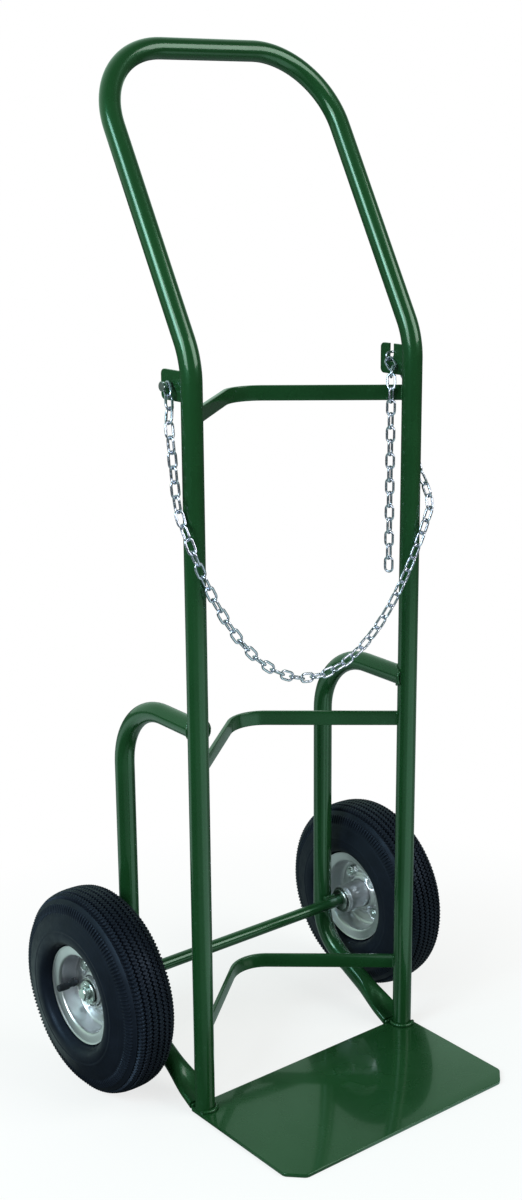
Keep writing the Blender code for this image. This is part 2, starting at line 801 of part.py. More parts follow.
def build_rim_bolt(tag, side, index):
    """Bolt through both rim halves: head outboard, nut run on inboard."""
    head = hexagon(0.0074, 6)
    shank = circle(0.0040, 6)
    bm = bmesh.new()
    turn_stations(bm, bolt_centre(side, index), side,
                  [(0.0072, head), (0.0021, head), (0.0021, shank), (-0.0021, shank),
                   (-0.0021, head), (-0.0084, head), (-0.0084, shank), (-0.0108, shank)])
    make_object(tag + "_rim_bolt_" + str(index + 1), bm, "zinc", wheel_centre(side))


def build_hub(tag, side):
    seat = 0.0180
    depth = 0.0122
    profile = [(HUB_R - 0.001, HUB_IN), (HUB_R, HUB_IN + 0.001), (HUB_R, HUB_OUT - 0.001),
               (HUB_R - 0.001, HUB_OUT), (seat, HUB_OUT), (seat, HUB_OUT - depth),
               (0.0155, HUB_OUT - depth), (0.0155, HUB_IN + depth), (seat, HUB_IN + depth),
               (seat, HUB_IN)]
    bm = bmesh.new()
    lathe(bm, profile, HUB_SEGMENTS, side)
    make_object(tag + "_hub_tube", bm, "zinc", wheel_centre(side))


def build_bearing(tag, side, word, face, inward):
    """Sealed ball bearing: the outer ring turns with the hub, the inner sits on the axle."""
    ring = [(0.0175, 0.0), (0.0175, 0.0110), (0.0142, 0.0110), (0.0142, 0.0026),
            (0.0112, 0.0026), (0.0112, 0.0012), (0.0142, 0.0012), (0.0142, 0.0)]
    bm = bmesh.new()
    lathe(bm, [(r, face + inward * (x + 0.0003)) for r, x in ring], RING_SEGMENTS, side)
    make_object(tag + "_" + word + "_bearing_outer_ring", bm, "steel", wheel_centre(side))
    inner = [(0.0108, -0.0004), (0.0108, 0.0110), (0.0083, 0.0110), (0.0083, -0.0004)]
    bm = bmesh.new()
    lathe(bm, [(r, face + inward * x) for r, x in inner], RING_SEGMENTS, side)
    make_object(tag + "_" + word + "_bearing_inner_ring", bm, "steel", wheel_centre(side))


def build_washer(name, side, near, far):
    profile = [(0.0150, near), (0.0150, far), (0.0083, far), (0.0083, near)]
    bm = bmesh.new()
    lathe(bm, profile, RING_SEGMENTS, side)
    make_object(name, bm, "zinc", wheel_centre(side))


def build_valve(tag, side):
    """Bent stem that leaves the rim's seat and turns outboard, with a screw cap."""
    centre = wheel_centre(side)
    out = X_AXIS * side
    middle = centre + STEM_ARM * STEM_BEND_R
    path = round_corners([centre + out * STEM_X + STEM_ARM * 0.0524, middle + out * STEM_X,
                          middle + out * (STEM_TIP - 0.0030)], [0.0050], 4)
    bm = bmesh.new()
    sweep_same(bm, path, Z_AXIS, circle(STEM_R, 8), circle(0.0012, 8))
    make_object(tag + "_valve_stem", bm, "butyl", centre)
    cap = bmesh.new()
    bore = circle(STEM_R + 0.0004, 12)
    stations = [(STEM_TIP - 0.0155, bore), (STEM_TIP - 0.0155, circle(0.0048, 12)),
                (STEM_TIP - 0.0010, circle(0.0045, 12)), (STEM_TIP, circle(0.0037, 12))]
    rings = [add_ring(cap, middle + out * x, Y_AXIS, Z_AXIS, s) for x, s in stations]
    floor = add_ring(cap, middle + out * (STEM_TIP - 0.0022), Y_AXIS, Z_AXIS, bore)
    skin(cap, [floor] + rings)
    cap.faces.new(floor)
    cap.faces.new(rings[-1])
    make_object(tag + "_valve_cap", cap, "butyl", centre)


def build_cotter_pin(tag, side):
    """Split pin through the axle's end, with its legs spread below."""
    r, leg = 0.00075, 0.00095
    half = [(0.0050, -0.0122), (leg, -0.0095), (leg, 0.0086), (0.0028, 0.0112)]
    plane = half + [(0.0, 0.0142)] + [(-a, b) for a, b in half[::-1]]
    x = side * (WHEEL_X + COTTER_X)
    path = [Vector((x, AXLE_Y + a, AXLE_Z + b)) for a, b in plane]
    bm = bmesh.new()
    sweep_same(bm, path, X_AXIS, circle(r, 6, 0.0))
    make_object(tag + "_cotter_pin", bm, "zinc")


def build_wheel(tag, side):
    build_tyre(tag, side)
    build_inner_tube(tag, side)
    build_rim_half(tag, side, 1)
    build_rim_half(tag, side, -1)
    for index in range(RIM_BOLTS):
        build_rim_bolt(tag, side, index)
    build_hub(tag, side)
    build_valve(tag, side)
    build_bearing(tag, side, "outboard", HUB_OUT, -1)
    build_bearing(tag, side, "inboard", HUB_IN, 1)
    brace_face = BRACE_X + TUBE_R - WHEEL_X
    build_washer(tag + "_inboard_washer", side, brace_face + 2 * GAP, HUB_IN - 0.0008)
    build_washer(tag + "_outboard_washer", side, HUB_OUT + 0.0008, HUB_OUT + 0.0032)
    build_cotter_pin(tag, side)


LOOKS = {
    "green": ((0.010, 0.085, 0.035), 0.0, 0.22),
    "zinc": ((0.72, 0.74, 0.76), 1.0, 0.28),
    "steel": ((0.45, 0.46, 0.48), 1.0, 0.35),
    "rubber": ((0.012, 0.013, 0.016), 0.0, 0.60),
    "butyl": ((0.015, 0.015, 0.016), 0.0, 0.50),
}


def main():
    clear_scene()
    build_main_tube()
    build_toe_plate()
    build_cradle_bar("top_cradle_bar", TOP_BAR_Z)
    build_cradle_bar("middle_cradle_bar", MIDDLE_BAR_Z)
    build_cradle_bar("lower_cradle_bar", LOWER_BAR_Z)
    for word, side in (("left", -1), ("right", 1)):
        build_brace(word + "_brace_tube", side)
        build_foot_weld(word + "_foot_weld", side)
        build_lug(word + "_chain_plate", side, side > 0)
        build_wheel(word, side)
    build_axle()
    build_chain_bolt()
    build_chain_nut()
    build_chain()


main()
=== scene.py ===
"""Looks of the cylinder hand truck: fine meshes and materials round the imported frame."""

import math
from math import cos, pi, radians, sin

import bmesh
import bpy
from mathutils import Matrix, Vector, noise


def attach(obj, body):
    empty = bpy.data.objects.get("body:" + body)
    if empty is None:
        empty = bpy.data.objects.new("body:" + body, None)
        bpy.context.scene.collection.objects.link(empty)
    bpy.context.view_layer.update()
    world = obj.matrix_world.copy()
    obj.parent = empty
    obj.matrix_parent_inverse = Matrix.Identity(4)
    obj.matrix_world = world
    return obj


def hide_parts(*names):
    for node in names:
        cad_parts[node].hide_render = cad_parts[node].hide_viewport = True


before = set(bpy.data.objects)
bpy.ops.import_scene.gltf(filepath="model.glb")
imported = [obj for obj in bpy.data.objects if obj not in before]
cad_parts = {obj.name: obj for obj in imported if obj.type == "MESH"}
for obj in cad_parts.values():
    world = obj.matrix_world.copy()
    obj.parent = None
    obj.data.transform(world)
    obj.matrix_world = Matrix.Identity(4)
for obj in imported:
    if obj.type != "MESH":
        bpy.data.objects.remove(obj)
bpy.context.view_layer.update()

TAU = 2.0 * pi
X = Vector((1.0, 0.0, 0.0))
Y = Vector((0.0, 1.0, 0.0))
Z = Vector((0.0, 0.0, 1.0))

# The truck's own sizes, in metres
TUBE_R, TUBE_WALL = 0.0125, 0.0018
UPRIGHT_X = 0.168
PLATE_T = 0.0048
BAR_T, BAR_H, BAR_Y, BAR_DEPTH = 0.005, 0.019, 0.0045, 0.1416
BAR_END, BAR_WELD = 0.0065, 0.0098      # from the upright's axis, along the bar's leg
BRACE_X, BRACE_Y, BRACE_TOP_Z = 0.1641, 0.1620, 0.5045
BRACE_CUT_Z = BRACE_TOP_Z - 0.003
BRACE_FOOT = (0.0129, 0.0067)            # y and z of the crushed end
CRUSHED_W, CRUSHED_T = 0.0185, 0.0042    # its half width and half thickness
AXLE_R, AXLE_Y, AXLE_Z = 0.00795, 0.1412, 0.1320
WHEEL_X = 0.2278
PIVOT_Y, PIVOT_Z = 0.0365, 0.9040
WIRE_R = 0.00155


# ---------------------------------------------------------------- mesh tools

def finish_mesh(name, verts, faces, mat, body, replaced, angle):
    mesh = bpy.data.meshes.new(name)
    mesh.from_pydata([tuple(v) for v in verts], [], faces)
    bm = bmesh.new()
    bm.from_mesh(mesh)
    bmesh.ops.recalc_face_normals(bm, faces=bm.faces)
    bm.to_mesh(mesh)
    bm.free()
    mesh.shade_smooth()
    mesh.set_sharp_from_angle(angle=radians(angle))
    mesh.materials.append(mat)
    obj = bpy.data.objects.new(name, mesh)
    bpy.context.scene.collection.objects.link(obj)
    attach(obj, body)
    if replaced:
        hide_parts(*replaced)


class Solid:
    """Collects rings of points and the quads between them."""

    def __init__(self):
        self.verts = []
        self.faces = []

    def ring(self, points):
        first = len(self.verts)
        self.verts.extend(points)
        return list(range(first, len(self.verts)))

    def skin(self, rings, closed=False):
        pairs = list(zip(rings, rings[1:]))
        if closed:
            pairs.append((rings[-1], rings[0]))
        count = len(rings[0])
        for low, high in pairs:
            for i in range(count):
                j = (i + 1) % count
                self.faces.append((low[i], low[j], high[j], high[i]))

    def cap(self, ring):
        self.faces.append(tuple(ring))

    def block(self, rings):
        """Skin the rings and close both ends."""
        self.skin(rings)
        self.cap(rings[0])
        self.cap(rings[-1])

    def put(self, name, mat, body, replaced=(), angle=38):
        finish_mesh(name, self.verts, self.faces, mat, body, replaced, angle)


def circle(radius, sides, phase=0.5):
    return [(radius * cos((i + phase) * TAU / sides),
             radius * sin((i + phase) * TAU / sides)) for i in range(sides)]


def round_corners(points, radii, steps):
    """A bent path: each inner corner becomes an arc of its radius."""
    path = [Vector(points[0])]
    for i in range(1, len(points) - 1):
        corner = Vector(points[i])
        back = (Vector(points[i - 1]) - corner).normalized()
        ahead = (Vector(points[i + 1]) - corner).normalized()
        half = back.angle(ahead) / 2.0
        reach = radii[i - 1] / math.tan(half)
        centre = corner + (back + ahead).normalized() * (radii[i - 1] / sin(half))
        start = corner + back * reach - centre
        end = corner + ahead * reach - centre
        axis = start.cross(end).normalized()
        sweep = start.angle(end)
        for k in range(steps + 1):
            path.append(centre + Matrix.Rotation(sweep * k / steps, 3, axis) @ start)
    path.append(Vector(points[-1]))
    return path


def frames_along(path, first_u, closed=False):
    """(point, u, v) at each path point, with u carried along without twist."""
    frames = []
    u = Vector(first_u)
    count = len(path)
    for i, point in enumerate(path):
        tangent = Vector((0.0, 0.0, 0.0))
        if i > 0 or closed:
            tangent += (point - path[i - 1]).normalized()
        if i < count - 1 or closed:
            tangent += (path[(i + 1) % count] - point).normalized()
        tangent.normalize()
        u = (u - tangent * u.dot(tangent)).normalized()
        frames.append((point, u.copy(), tangent.cross(u)))
    return frames


def place(frame_at, section):
    point, u, v = frame_at
    return [point + u * a + v * b for a, b in section]


def sweep(solid, path, first_u, section_at, inner_at=None):
    """section_at(i) gives the section at path point i; inner_at makes an open tube."""
    frames = frames_along(path, first_u)
    outer = [solid.ring(place(f, section_at(i))) for i, f in enumerate(frames)]
    if inner_at is None:
        solid.block(outer)
        return
    inner = [solid.ring(place(f, inner_at(i))) for i, f in enumerate(frames)]
    for rings in (outer, inner, [outer[0], inner[0]], [outer[-1], inner[-1]]):
        solid.skin(rings)


def spline(points, per_span):
    """Catmull-Rom through 2D or 3D points."""
    pts = [Vector(p) for p in points]
    pts = [pts[0] * 2 - pts[1]] + pts + [pts[-1] * 2 - pts[-2]]
    out = []
    for a, b, c, d in zip(pts, pts[1:], pts[2:], pts[3:]):
        for k in range(per_span):
            t = k / per_span
            out.append(0.5 * ((2 * b) + (c - a) * t + (2 * a - 5 * b + 4 * c - d) * t * t
                              + (3 * b - a - 3 * c + d) * t ** 3))
    out.append(pts[-2])
    return out


def offset_path(points, distance):
    """Shift an open 2D path sideways, keeping its wall thickness round corners."""
    shifted = []
    last = len(points) - 1
    for i, point in enumerate(points):
        here = Vector(point)
        normals = []
        for a, b in ((i - 1, i), (i, i + 1)):
            if a >= 0 and b <= last:
                step = (Vector(points[b]) - Vector(points[a])).normalized()
                normals.append(Vector((-step.y, step.x)))
        total = sum(normals, Vector((0.0, 0.0))).normalized()
        shifted.append(tuple(here + total * (distance / max(0.5, total.dot(normals[0])))))
    return shifted


def wheel_centre(side):
    return Vector((side * WHEEL_X, AXLE_Y, AXLE_Z))


def spoke(turn):
    """Unit vector out from the axle."""
    return Vector((0.0, cos(turn), sin(turn)))


def turned(name, profile, side, mat, body, replaced=(), angle=38, segments=96, shape=None):
    """Turn a closed (radius, outboard) profile; shape(r, x, turn) may move each point."""
    centre = wheel_centre(side)
    solid, rings = Solid(), []
    for k in range(segments):
        turn = TAU * k / segments
        row = []
        for r, x in profile:
            if shape:
                r, x = shape(r, x, turn)
            row.append(centre + spoke(turn) * r + X * (side * x))
        rings.append(solid.ring(row))
    solid.skin(rings, closed=True)
    solid.put(name, mat, body, replaced, angle)


def chamfered(outline, r):
    """Cut each corner of a closed 2D outline with two small points."""
    out = []
    n = len(outline)
    for i, p in enumerate(outline):
        p = Vector(p)
        a = Vector(outline[i - 1]) - p
        b = Vector(outline[(i + 1) % n]) - p
        out.append(tuple(p + a.normalized() * min(r, a.length * 0.3)))
        out.append(tuple(p + b.normalized() * min(r, b.length * 0.3)))
    return out


# ---------------------------------------------------------------- materials

class Look:
    """Small helper round one node material."""

    def __init__(self, name, slot):
        self.mat = bpy.data.materials.new(name)
        self.mat.use_nodes = True
        self.mat["slot"] = slot
        self.tree = self.mat.node_tree
        self.shader = self.tree.nodes["Principled BSDF"]
        self.coords = self.tree.nodes.new("ShaderNodeTexCoord").outputs["Object"]

    def node(self, kind, **values):
        made = self.tree.nodes.new(kind)
        for key, value in values.items():
            if key in made.inputs:
                made.inputs[key].default_value = value
            else:
                setattr(made, key, value)
        return made

    def link(self, source, target):
        self.tree.links.new(source, target)

    def feed(self, value, socket):
        """Link a socket, or set a colour or a number."""
        if isinstance(value, bpy.types.NodeSocket):
            self.link(value, socket)
        else:
            socket.default_value = (*value, 1.0) if isinstance(value, tuple) else value

    def noise(self, scale, detail=4.0, rough=0.5):
        made = self.node("ShaderNodeTexNoise", Scale=scale, Detail=detail, Roughness=rough)
        self.link(self.coords, made.inputs["Vector"])
        return made.outputs["Fac"]

    def ramp(self, source, stops):
        made = self.node("ShaderNodeValToRGB")
        items = made.color_ramp.elements
        while len(items) < len(stops):
            items.new(0.5)
        for item, (at, colour) in zip(items, stops):
            item.position = at
            item.color = (*colour, 1.0)
        self.link(source, made.inputs["Fac"])
        return made.outputs["Color"]

    def spread(self, source, low, high, out_low, out_high):
        made = self.node("ShaderNodeMapRange")
        for index, value in enumerate((low, high, out_low, out_high)):
            made.inputs[index + 1].default_value = value
        self.link(source, made.inputs["Value"])
        return made.outputs["Result"]

    def mix(self, factor, a, b):
        made = self.tree.nodes.new("ShaderNodeMix")
        made.data_type = "RGBA"
        for value, socket in ((factor, made.inputs[0]), (a, made.inputs[6]), (b, made.inputs[7])):
            self.feed(value, socket)
        return made.outputs[2]

    def bumps(self, *layers):
        """Each layer is (height socket, strength, distance)."""
        previous = None
        for height, strength, distance in layers:
            made = self.node("ShaderNodeBump", Strength=strength, Distance=distance)
            self.link(height, made.inputs["Height"])
            if previous:
                self.link(previous, made.inputs["Normal"])
            previous = made.outputs["Normal"]
        self.link(previous, self.shader.inputs["Normal"])

    def distance(self):
        """How far a point is from the object's own origin."""
        made = self.node("ShaderNodeVectorMath", operation="LENGTH")
        self.link(self.coords, made.inputs[0])
        return made.outputs["Value"]

    def blend(self, factor, first, second):
        """Mix two shaders."""
        made = self.node("ShaderNodeMixShader")
        for source, socket in zip((factor, first, second), made.inputs):
            self.link(source, socket)
        return made.outputs[0]

    def edges(self, low, high):
        """Bright on convex edges, dark in creases."""
        made = self.tree.nodes.new("ShaderNodeNewGeometry")
        return self.spread(made.outputs["Pointiness"], low, high, 0.0, 1.0)

    def set(self, **values):
        for key, value in values.items():
            self.feed(value, self.shader.inputs[key.replace("_", " ")])


def green_paint():
    look = Look("gloss_green_enamel", "green_paint")
    tone = look.ramp(look.noise(7.0, 3.0), [(0.30, (0.008, 0.042, 0.012)),
                                            (0.55, (0.009, 0.049, 0.014)),
                                            (0.80, (0.011, 0.056, 0.017))])
    # Creases and hollows darken to a deep green here: painted shade. The noise tone above is the
    # paint's own uneven colour.
    creases = look.mix(look.edges(0.38, 0.485), (0.003, 0.020, 0.007), tone)
    rub = look.spread(look.noise(90.0, 6.0, 0.7), 0.60, 0.74, 0.0, 0.35)
    worn = look.node("ShaderNodeMath", operation="MULTIPLY")
    look.link(look.edges(0.54, 0.62), worn.inputs[0])
    look.link(rub, worn.inputs[1])
    colour = look.mix(worn.outputs[0], creases, (0.060, 0.170, 0.100))
    look.set(Base_Color=colour, Coat_Weight=0.60, Coat_Roughness=0.07, Coat_IOR=1.45,
             Specular_IOR_Level=0.35, Specular_Tint=(0.35, 1.0, 0.60),
             Roughness=look.spread(look.noise(24.0, 5.0), 0.3, 0.7, 0.20, 0.32))
    look.bumps((look.noise(11.0, 2.0), 0.16, 0.0016), (look.noise(420.0, 2.0), 0.035, 0.0004))
    return look.mat


def shades(tone, *shares):
    return [tuple(c * share for c in tone) for share in shares]


def zinc(name, tone, dull, ripple=0.03):
    """Bright zinc plating: dull adds to the roughness, ripple to both bump layers."""
    look = Look(name, "zinc_plated_steel")
    crease, low, high = shades(tone, 0.3, 0.94, 1.04)
    tint = look.ramp(look.noise(26.0, 4.0), [(0.30, low), (0.52, tone), (0.75, high)])
    # Creases darken to a third of the zinc tone: painted shade. The noise tint is the plating's own
    # uneven colour.
    tint_with_crease_shade = look.mix(look.edges(0.38, 0.48), crease, tint)
    look.set(Base_Color=tint_with_crease_shade, Metallic=1.0,
             Roughness=look.spread(look.noise(60.0, 3.0, 0.5), 0.3, 0.7, 0.22 + dull,
                                   0.27 + dull))
    look.bumps((look.noise(40.0, 2.0), ripple, 0.0004), (look.noise(1500.0, 3.0), ripple, 0.0001))
    return look.mat


def rubber(name, slot, tone=(0.0055, 0.0070, 0.0118), grit=0.20):
    look = Look(name, slot)
    dark, pale, scuff = shades(tone, 0.75, 1.35, 2.2)
    fresh = look.ramp(look.noise(30.0, 6.0, 0.6), [(0.30, dark), (0.70, pale)])
    scuffed = look.mix(look.edges(0.515, 0.60), fresh, scuff)
    look.set(Base_Color=scuffed, Specular_IOR_Level=0.24, Specular_Tint=(0.55, 0.72, 1.0),
             Roughness=look.spread(look.noise(70.0, 6.0, 0.65), 0.3, 0.7, 0.42, 0.60))
    look.bumps((look.noise(260.0, 4.0), grit, 0.0004), (look.noise(2200.0, 3.0), 0.12, 0.0001))
    return look.mat


def bearing_steel():
    look = Look("ground_bearing_steel", "bearing_steel")
    tint = look.ramp(look.noise(180.0, 4.0), [(0.3, (0.46, 0.46, 0.46)), (0.7, (0.60, 0.60, 0.61))])
    look.set(Base_Color=tint, Metallic=1.0,
             Roughness=look.spread(look.noise(300.0, 5.0), 0.3, 0.7, 0.20, 0.36))
    look.bumps((look.noise(900.0, 3.0), 0.08, 0.0001),)
    return look.mat


GREEN = green_paint()
WHEEL_ZINC = zinc("zinc_plated_pressing", (0.78, 0.77, 0.80), dull=0.12, ripple=0.006)
CHAIN_ZINC = zinc("zinc_plated_chain", (0.52, 0.54, 0.64), dull=0.02)
BOLT_ZINC = zinc("zinc_plated_fastener", (0.60, 0.66, 0.64), dull=0.03)
TYRE = rubber("tyre_rubber_black", "tyre_rubber")
SEAL = rubber("seal_rubber", "butyl_rubber", (0.012, 0.012, 0.013), 0.08)
VALVE = rubber("valve_rubber", "butyl_rubber", (0.014, 0.014, 0.015), 0.10)
STEEL = bearing_steel()


# ---------------------------------------------------------------- frame

def tube_piece():
    bend_z, tilt, length, r = 0.9345, radians(28.75), 0.3843, 0.100
    top = (length * sin(tilt), bend_z + length * cos(tilt))
    foot = PLATE_T + 0.0003
    corners = [(-UPRIGHT_X, 0, foot), (-UPRIGHT_X, 0, bend_z), (-UPRIGHT_X, *top),
               (UPRIGHT_X, *top), (UPRIGHT_X, 0, bend_z), (UPRIGHT_X, 0, foot)]
    path = round_corners(corners, [r] * 4, 24)
    outer, bore = circle(TUBE_R, 48), circle(TUBE_R - TUBE_WALL, 48)
    solid = Solid()
    sweep(solid, path, X, lambda i: outer, lambda i: bore)
    solid.put("main_frame_tube_bent", GREEN, "frame", ["main_frame_tube"])


def rounded_outline(corners, steps, inset=0.0):
    shape = []
    count = len(corners)
    for i, (x, y, radius) in enumerate(corners):
        here = Vector((x, y))
        back = (Vector(corners[i - 1][:2]) - here).normalized()
        ahead = (Vector(corners[(i + 1) % count][:2]) - here).normalized()
        half = back.angle(ahead) / 2.0
        centre = here + (back + ahead).normalized() * (radius / sin(half))
        start = here + back * (radius / math.tan(half)) - centre
        turn = start.angle_signed(here + ahead * (radius / math.tan(half)) - centre)
        for k in range(steps + 1):
            arm = Matrix.Rotation(-turn * k / steps, 2) @ start
            shape.append(tuple(centre + arm * ((radius - inset) / radius)))
    return shape


def plate_piece():
    w, front, rear, cut = 0.1817, -0.1910, 0.0119, 0.020
    corners = [(-w, rear, 0.003), (-w, front + cut, 0.010), (cut - w, front, 0.010),
               (w - cut, front, 0.010), (w, front + cut, 0.010), (w, rear, 0.003)]
    edge = 0.0010
    lower = [(edge * (1 - cos(a)), edge * (1 - sin(a)))
             for a in (pi / 2 * k / 6 for k in range(7))]
    upper = [(PLATE_T - z, inset) for z, inset in lower[::-1]]
    solid = Solid()
    solid.block([solid.ring([Vector((x, y, z)) for x, y in rounded_outline(corners, 12, inset)])
                 for z, inset in lower + upper])
    solid.put("toe_plate_steel", GREEN, "frame", ["toe_plate"])


def bar_section():
    """Flat bar with rolled, rounded edges: u is up, v is the thickness."""
    t, h, r = BAR_T / 2, BAR_H / 2, 0.0011
    out = []
    for cu, cv, first in ((h - r, t - r, 0), (r - h, t - r, 90), (r - h, r - t, 180),
                          (h - r, r - t, 270)):
        for k in range(5):
            a = radians(first + 90 * k / 4)
            out.append((cu + r * cos(a), cv + r * sin(a)))
    return out


def bar_piece(name, z):
    apex = Vector((0.0, BAR_Y + BAR_DEPTH, z))
    foot = Vector((UPRIGHT_X, BAR_Y, z))
    leg = (apex - foot).normalized()
    start = foot + leg * BAR_WELD
    tip = foot + leg * BAR_END
    path = round_corners([tip, apex, Vector((-tip.x, tip.y, z))], [0.046], 28)
    section = bar_section()
    solid = Solid()
    sweep(solid, path, Z, lambda i: section)
    solid.put(name + "_flat_bar", GREEN, "frame", [name])
    for side in (-1, 1):
        base = Vector((side * start.x, start.y, z))
        across = Vector((side * leg.y, -leg.x, 0.0)).normalized()
        inward = Vector((side * leg.x, leg.y, 0.0))
        for face in (-1, 1):
            line = [base + across * face * (BAR_T / 2 + 0.0004) - inward * 0.0006
                    + Z * (BAR_H * (k / 14 - 0.5) * 0.94) for k in range(15)]
            bead(f"{name}_weld_{'left' if side < 0 else 'right'}_{(face + 3) // 2}",
                 line, 0.0021)


def flattened(radius, half_w, half_t, dent, blend):
    """A circle that blends into a crushed oval, thinner in the middle by dent."""
    shape, sides = [], 48
    for i in range(sides):
        a = TAU * (i + 0.5) / sides
        c, s = cos(a), sin(a)
        fc = math.copysign(abs(c) ** 0.9, c) * half_w
        fs = math.copysign(min(1.0, abs(s) * 2.2) ** 0.8, s) * half_t
        fs *= 1.0 - dent * (1.0 - ease(abs(fc) / half_w * 1.25))
        shape.append((radius * c * (1 - blend) + fc * blend,
                      radius * s * (1 - blend) + fs * blend))
    return shape


def ease(t):
    t = min(1.0, max(0.0, t))
    return t * t * (3 - 2 * t)


def brace_piece(word, side):
    x = side * BRACE_X
    foot = Vector((x, *BRACE_FOOT))
    knee = Vector((x, BRACE_Y, 0.0800))
    run = (foot - knee).normalized()
    reach = math.sqrt((TUBE_R + 0.0003) ** 2 - (UPRIGHT_X - BRACE_X) ** 2)
    start = Vector((x, reach + 0.0004, BRACE_CUT_Z))
    bent = round_corners([start, Vector((x, BRACE_Y, BRACE_TOP_Z)), knee, foot],
                         [0.086, 0.067], 20)
    tail = bent[-2]
    steps = 40
    path = bent[:-1] + [tail.lerp(foot, k / steps) for k in range(1, steps + 1)]

    def blend_at(i):
        left = (path[i] - foot).length
        return ease((0.072 - left) / 0.056) if i >= len(bent) - 2 else 0.0

    outer = (TUBE_R, CRUSHED_W, CRUSHED_T)
    bore = [size - TUBE_WALL for size in outer]
    solid = Solid()
    sweep(solid, path, X, lambda i: flattened(*outer, 0.40, blend_at(i)),
          lambda i: flattened(*bore, 0.75, blend_at(i)))
    for v in solid.verts:
        if (v - foot).dot(run) > -0.0001:
            v += run * ((foot.y - v.y) / run.y)
    cope_end(solid, side, start.y)
    solid.put(word + "_brace_bent_tube", GREEN, "frame", [word + "_brace_tube"])
    ring = []
    for k in range(40):
        a = TAU * k / 40
        p = Vector((x + (TUBE_R + 0.0008) * cos(a), 0.0,
                    BRACE_CUT_Z + (TUBE_R + 0.0008) * sin(a)))
        off = abs(p.x - side * UPRIGHT_X)
        p.y = math.sqrt(max(0.0, (TUBE_R + 0.0010) ** 2 - off ** 2))
        ring.append(p)
    bead(word + "_brace_top_weld", ring, 0.0017, closed=True)
    for tag, y, z, r in (("foot", 0.0122, 0.0062, 0.0024), ("plate", 0.0124, 0.0030, 0.0022)):
        bead(f"{word}_brace_{tag}_weld", weld_line(x, 0.0165, y, z), r)


def weld_line(x, half, y, z):
    """A straight run of weld across X."""
    return [Vector((x + half * (k / 12 - 0.5) * 2, y, z)) for k in range(13)]


def cope_end(solid, side, start_y):
    """Wrap the brace's first rings onto the upright's round wall."""
    for v in solid.verts:
        if v.z > BRACE_TOP_Z - 0.03 and v.y < start_y + 0.0005:
            off = abs(v.x - side * UPRIGHT_X)
            v.y = max(0.0035, math.sqrt(max(0.0, (TUBE_R + 0.0004) ** 2 - off ** 2)))


def bead(name, path, radius, closed=False, replaced=()):
    """A weld bead with the small overlapping scallops of a run of weld."""
    length = sum((b - a).length for a, b in zip(path, path[1:]))
    count = max(12, int(length / 0.0007))
    dense = resample(path + ([path[0]] if closed else []), count)
    if closed:
        dense = dense[:-1]
    first = Z if abs((dense[1] - dense[0]).normalized().z) < 0.8 else X
    frames = frames_along(dense, first, closed)
    solid, rings = Solid(), []
    seed = sum(ord(c) for c in name) * 0.37
    for i, (p, u, v) in enumerate(frames):
        at = i * length / max(1, len(frames))
        scallop = abs(sin(at / 0.0024 * pi))
        wob = noise.noise(Vector((at * 300.0, seed, 0.0)))
        r = radius * (0.86 + 0.16 * scallop + 0.10 * wob)
        if not closed:
            r *= math.sqrt(max(0.08, min(1.0, 4.0 * min(i, len(frames) - 1 - i) / 8.0)))
        rings.append(solid.ring(place((p, u, v), circle(r, 12))))
    if closed:
        solid.skin(rings, closed)
    else:
        solid.block(rings)
    solid.put(name, GREEN, "frame", replaced, angle=60)


def resample(path, count):
    """The same path with count equal steps."""
    total = sum((b - a).length for a, b in zip(path, path[1:]))
    out, seg, used = [], 0, 0.0
    for k in range(count + 1):
        want = total * k / count
        while seg < len(path) - 2 and used + (path[seg + 1] - path[seg]).length < want:
            used += (path[seg + 1] - path[seg]).length
            seg += 1
        span = (path[seg + 1] - path[seg]).length
        out.append(path[seg].lerp(path[seg + 1], min(1.0, (want - used) / span)))
    return out


def foot_weld_piece(word, side):
    radius, path = TUBE_R + 0.0021, []
    start, end = radians(50), radians(-125)
    for k in range(41):
        a = start + (end - start) * k / 40
        path.append(Vector((side * (UPRIGHT_X + radius * sin(a)), -radius * cos(a),
                            PLATE_T + 0.0018)))
    bead(word + "_foot_weld_bead", path, 0.0024, replaced=[word + "_foot_weld"])


def axle_piece():
    half, ch, bare = WHEEL_X + 0.0262, 0.0012, BRACE_X + TUBE_R + 0.0030
    centre = Vector((0.0, AXLE_Y, AXLE_Z))
    full, small = circle(AXLE_R, 48), circle(AXLE_R - ch, 48)
    stacked("axle_bar", centre, 1, [(-bare, full), (bare, full)], GREEN, "frame", ["axle"])
    for word, side in (("left", -1), ("right", 1)):
        stacked(word + "_axle_bare_end", centre, side,
                [(bare, full), (half - ch, full), (half, small)], BOLT_ZINC, "frame")
    for word, side in (("left", -1), ("right", 1)):
        for tag, s in (("upper", 1), ("lower", -1)):
            bead(f"{word}_axle_weld_{tag}",
                 weld_line(side * BRACE_X, 0.0095, AXLE_Y + 0.0062, AXLE_Z + s * 0.0068), 0.0030)


# ---------------------------------------------------------------- chain plates

def lug_outline(with_slot):
    y0, y1, z0, z1, r, steps = 0.0128, 0.0559, 0.8869, 0.9245, 0.006, 10
    if not with_slot:
        z1 -= 0.0030
    shape = [(y0, z0)]
    for cy, cz, begin in ((y1 - r, z0 + r, -90), (y1 - r, z1 - r, 0)):
        for k in range(steps + 1):
            a = radians(begin + 90 * k / steps)
            shape.append((cy + r * cos(a), cz + r * sin(a)))
    if with_slot:
        w, floor = 0.0042, PIVOT_Z - 0.0021
        shape.append((PIVOT_Y + w, z1))
        for k in range(steps + 1):
            a = radians(-180 * k / steps)
            shape.append((PIVOT_Y + w * cos(a), floor + w + w * sin(a)))
        shape.append((PIVOT_Y - w, z1))
    return shape + [(y0 + 0.0016, z1), (y0, 0.9075)]


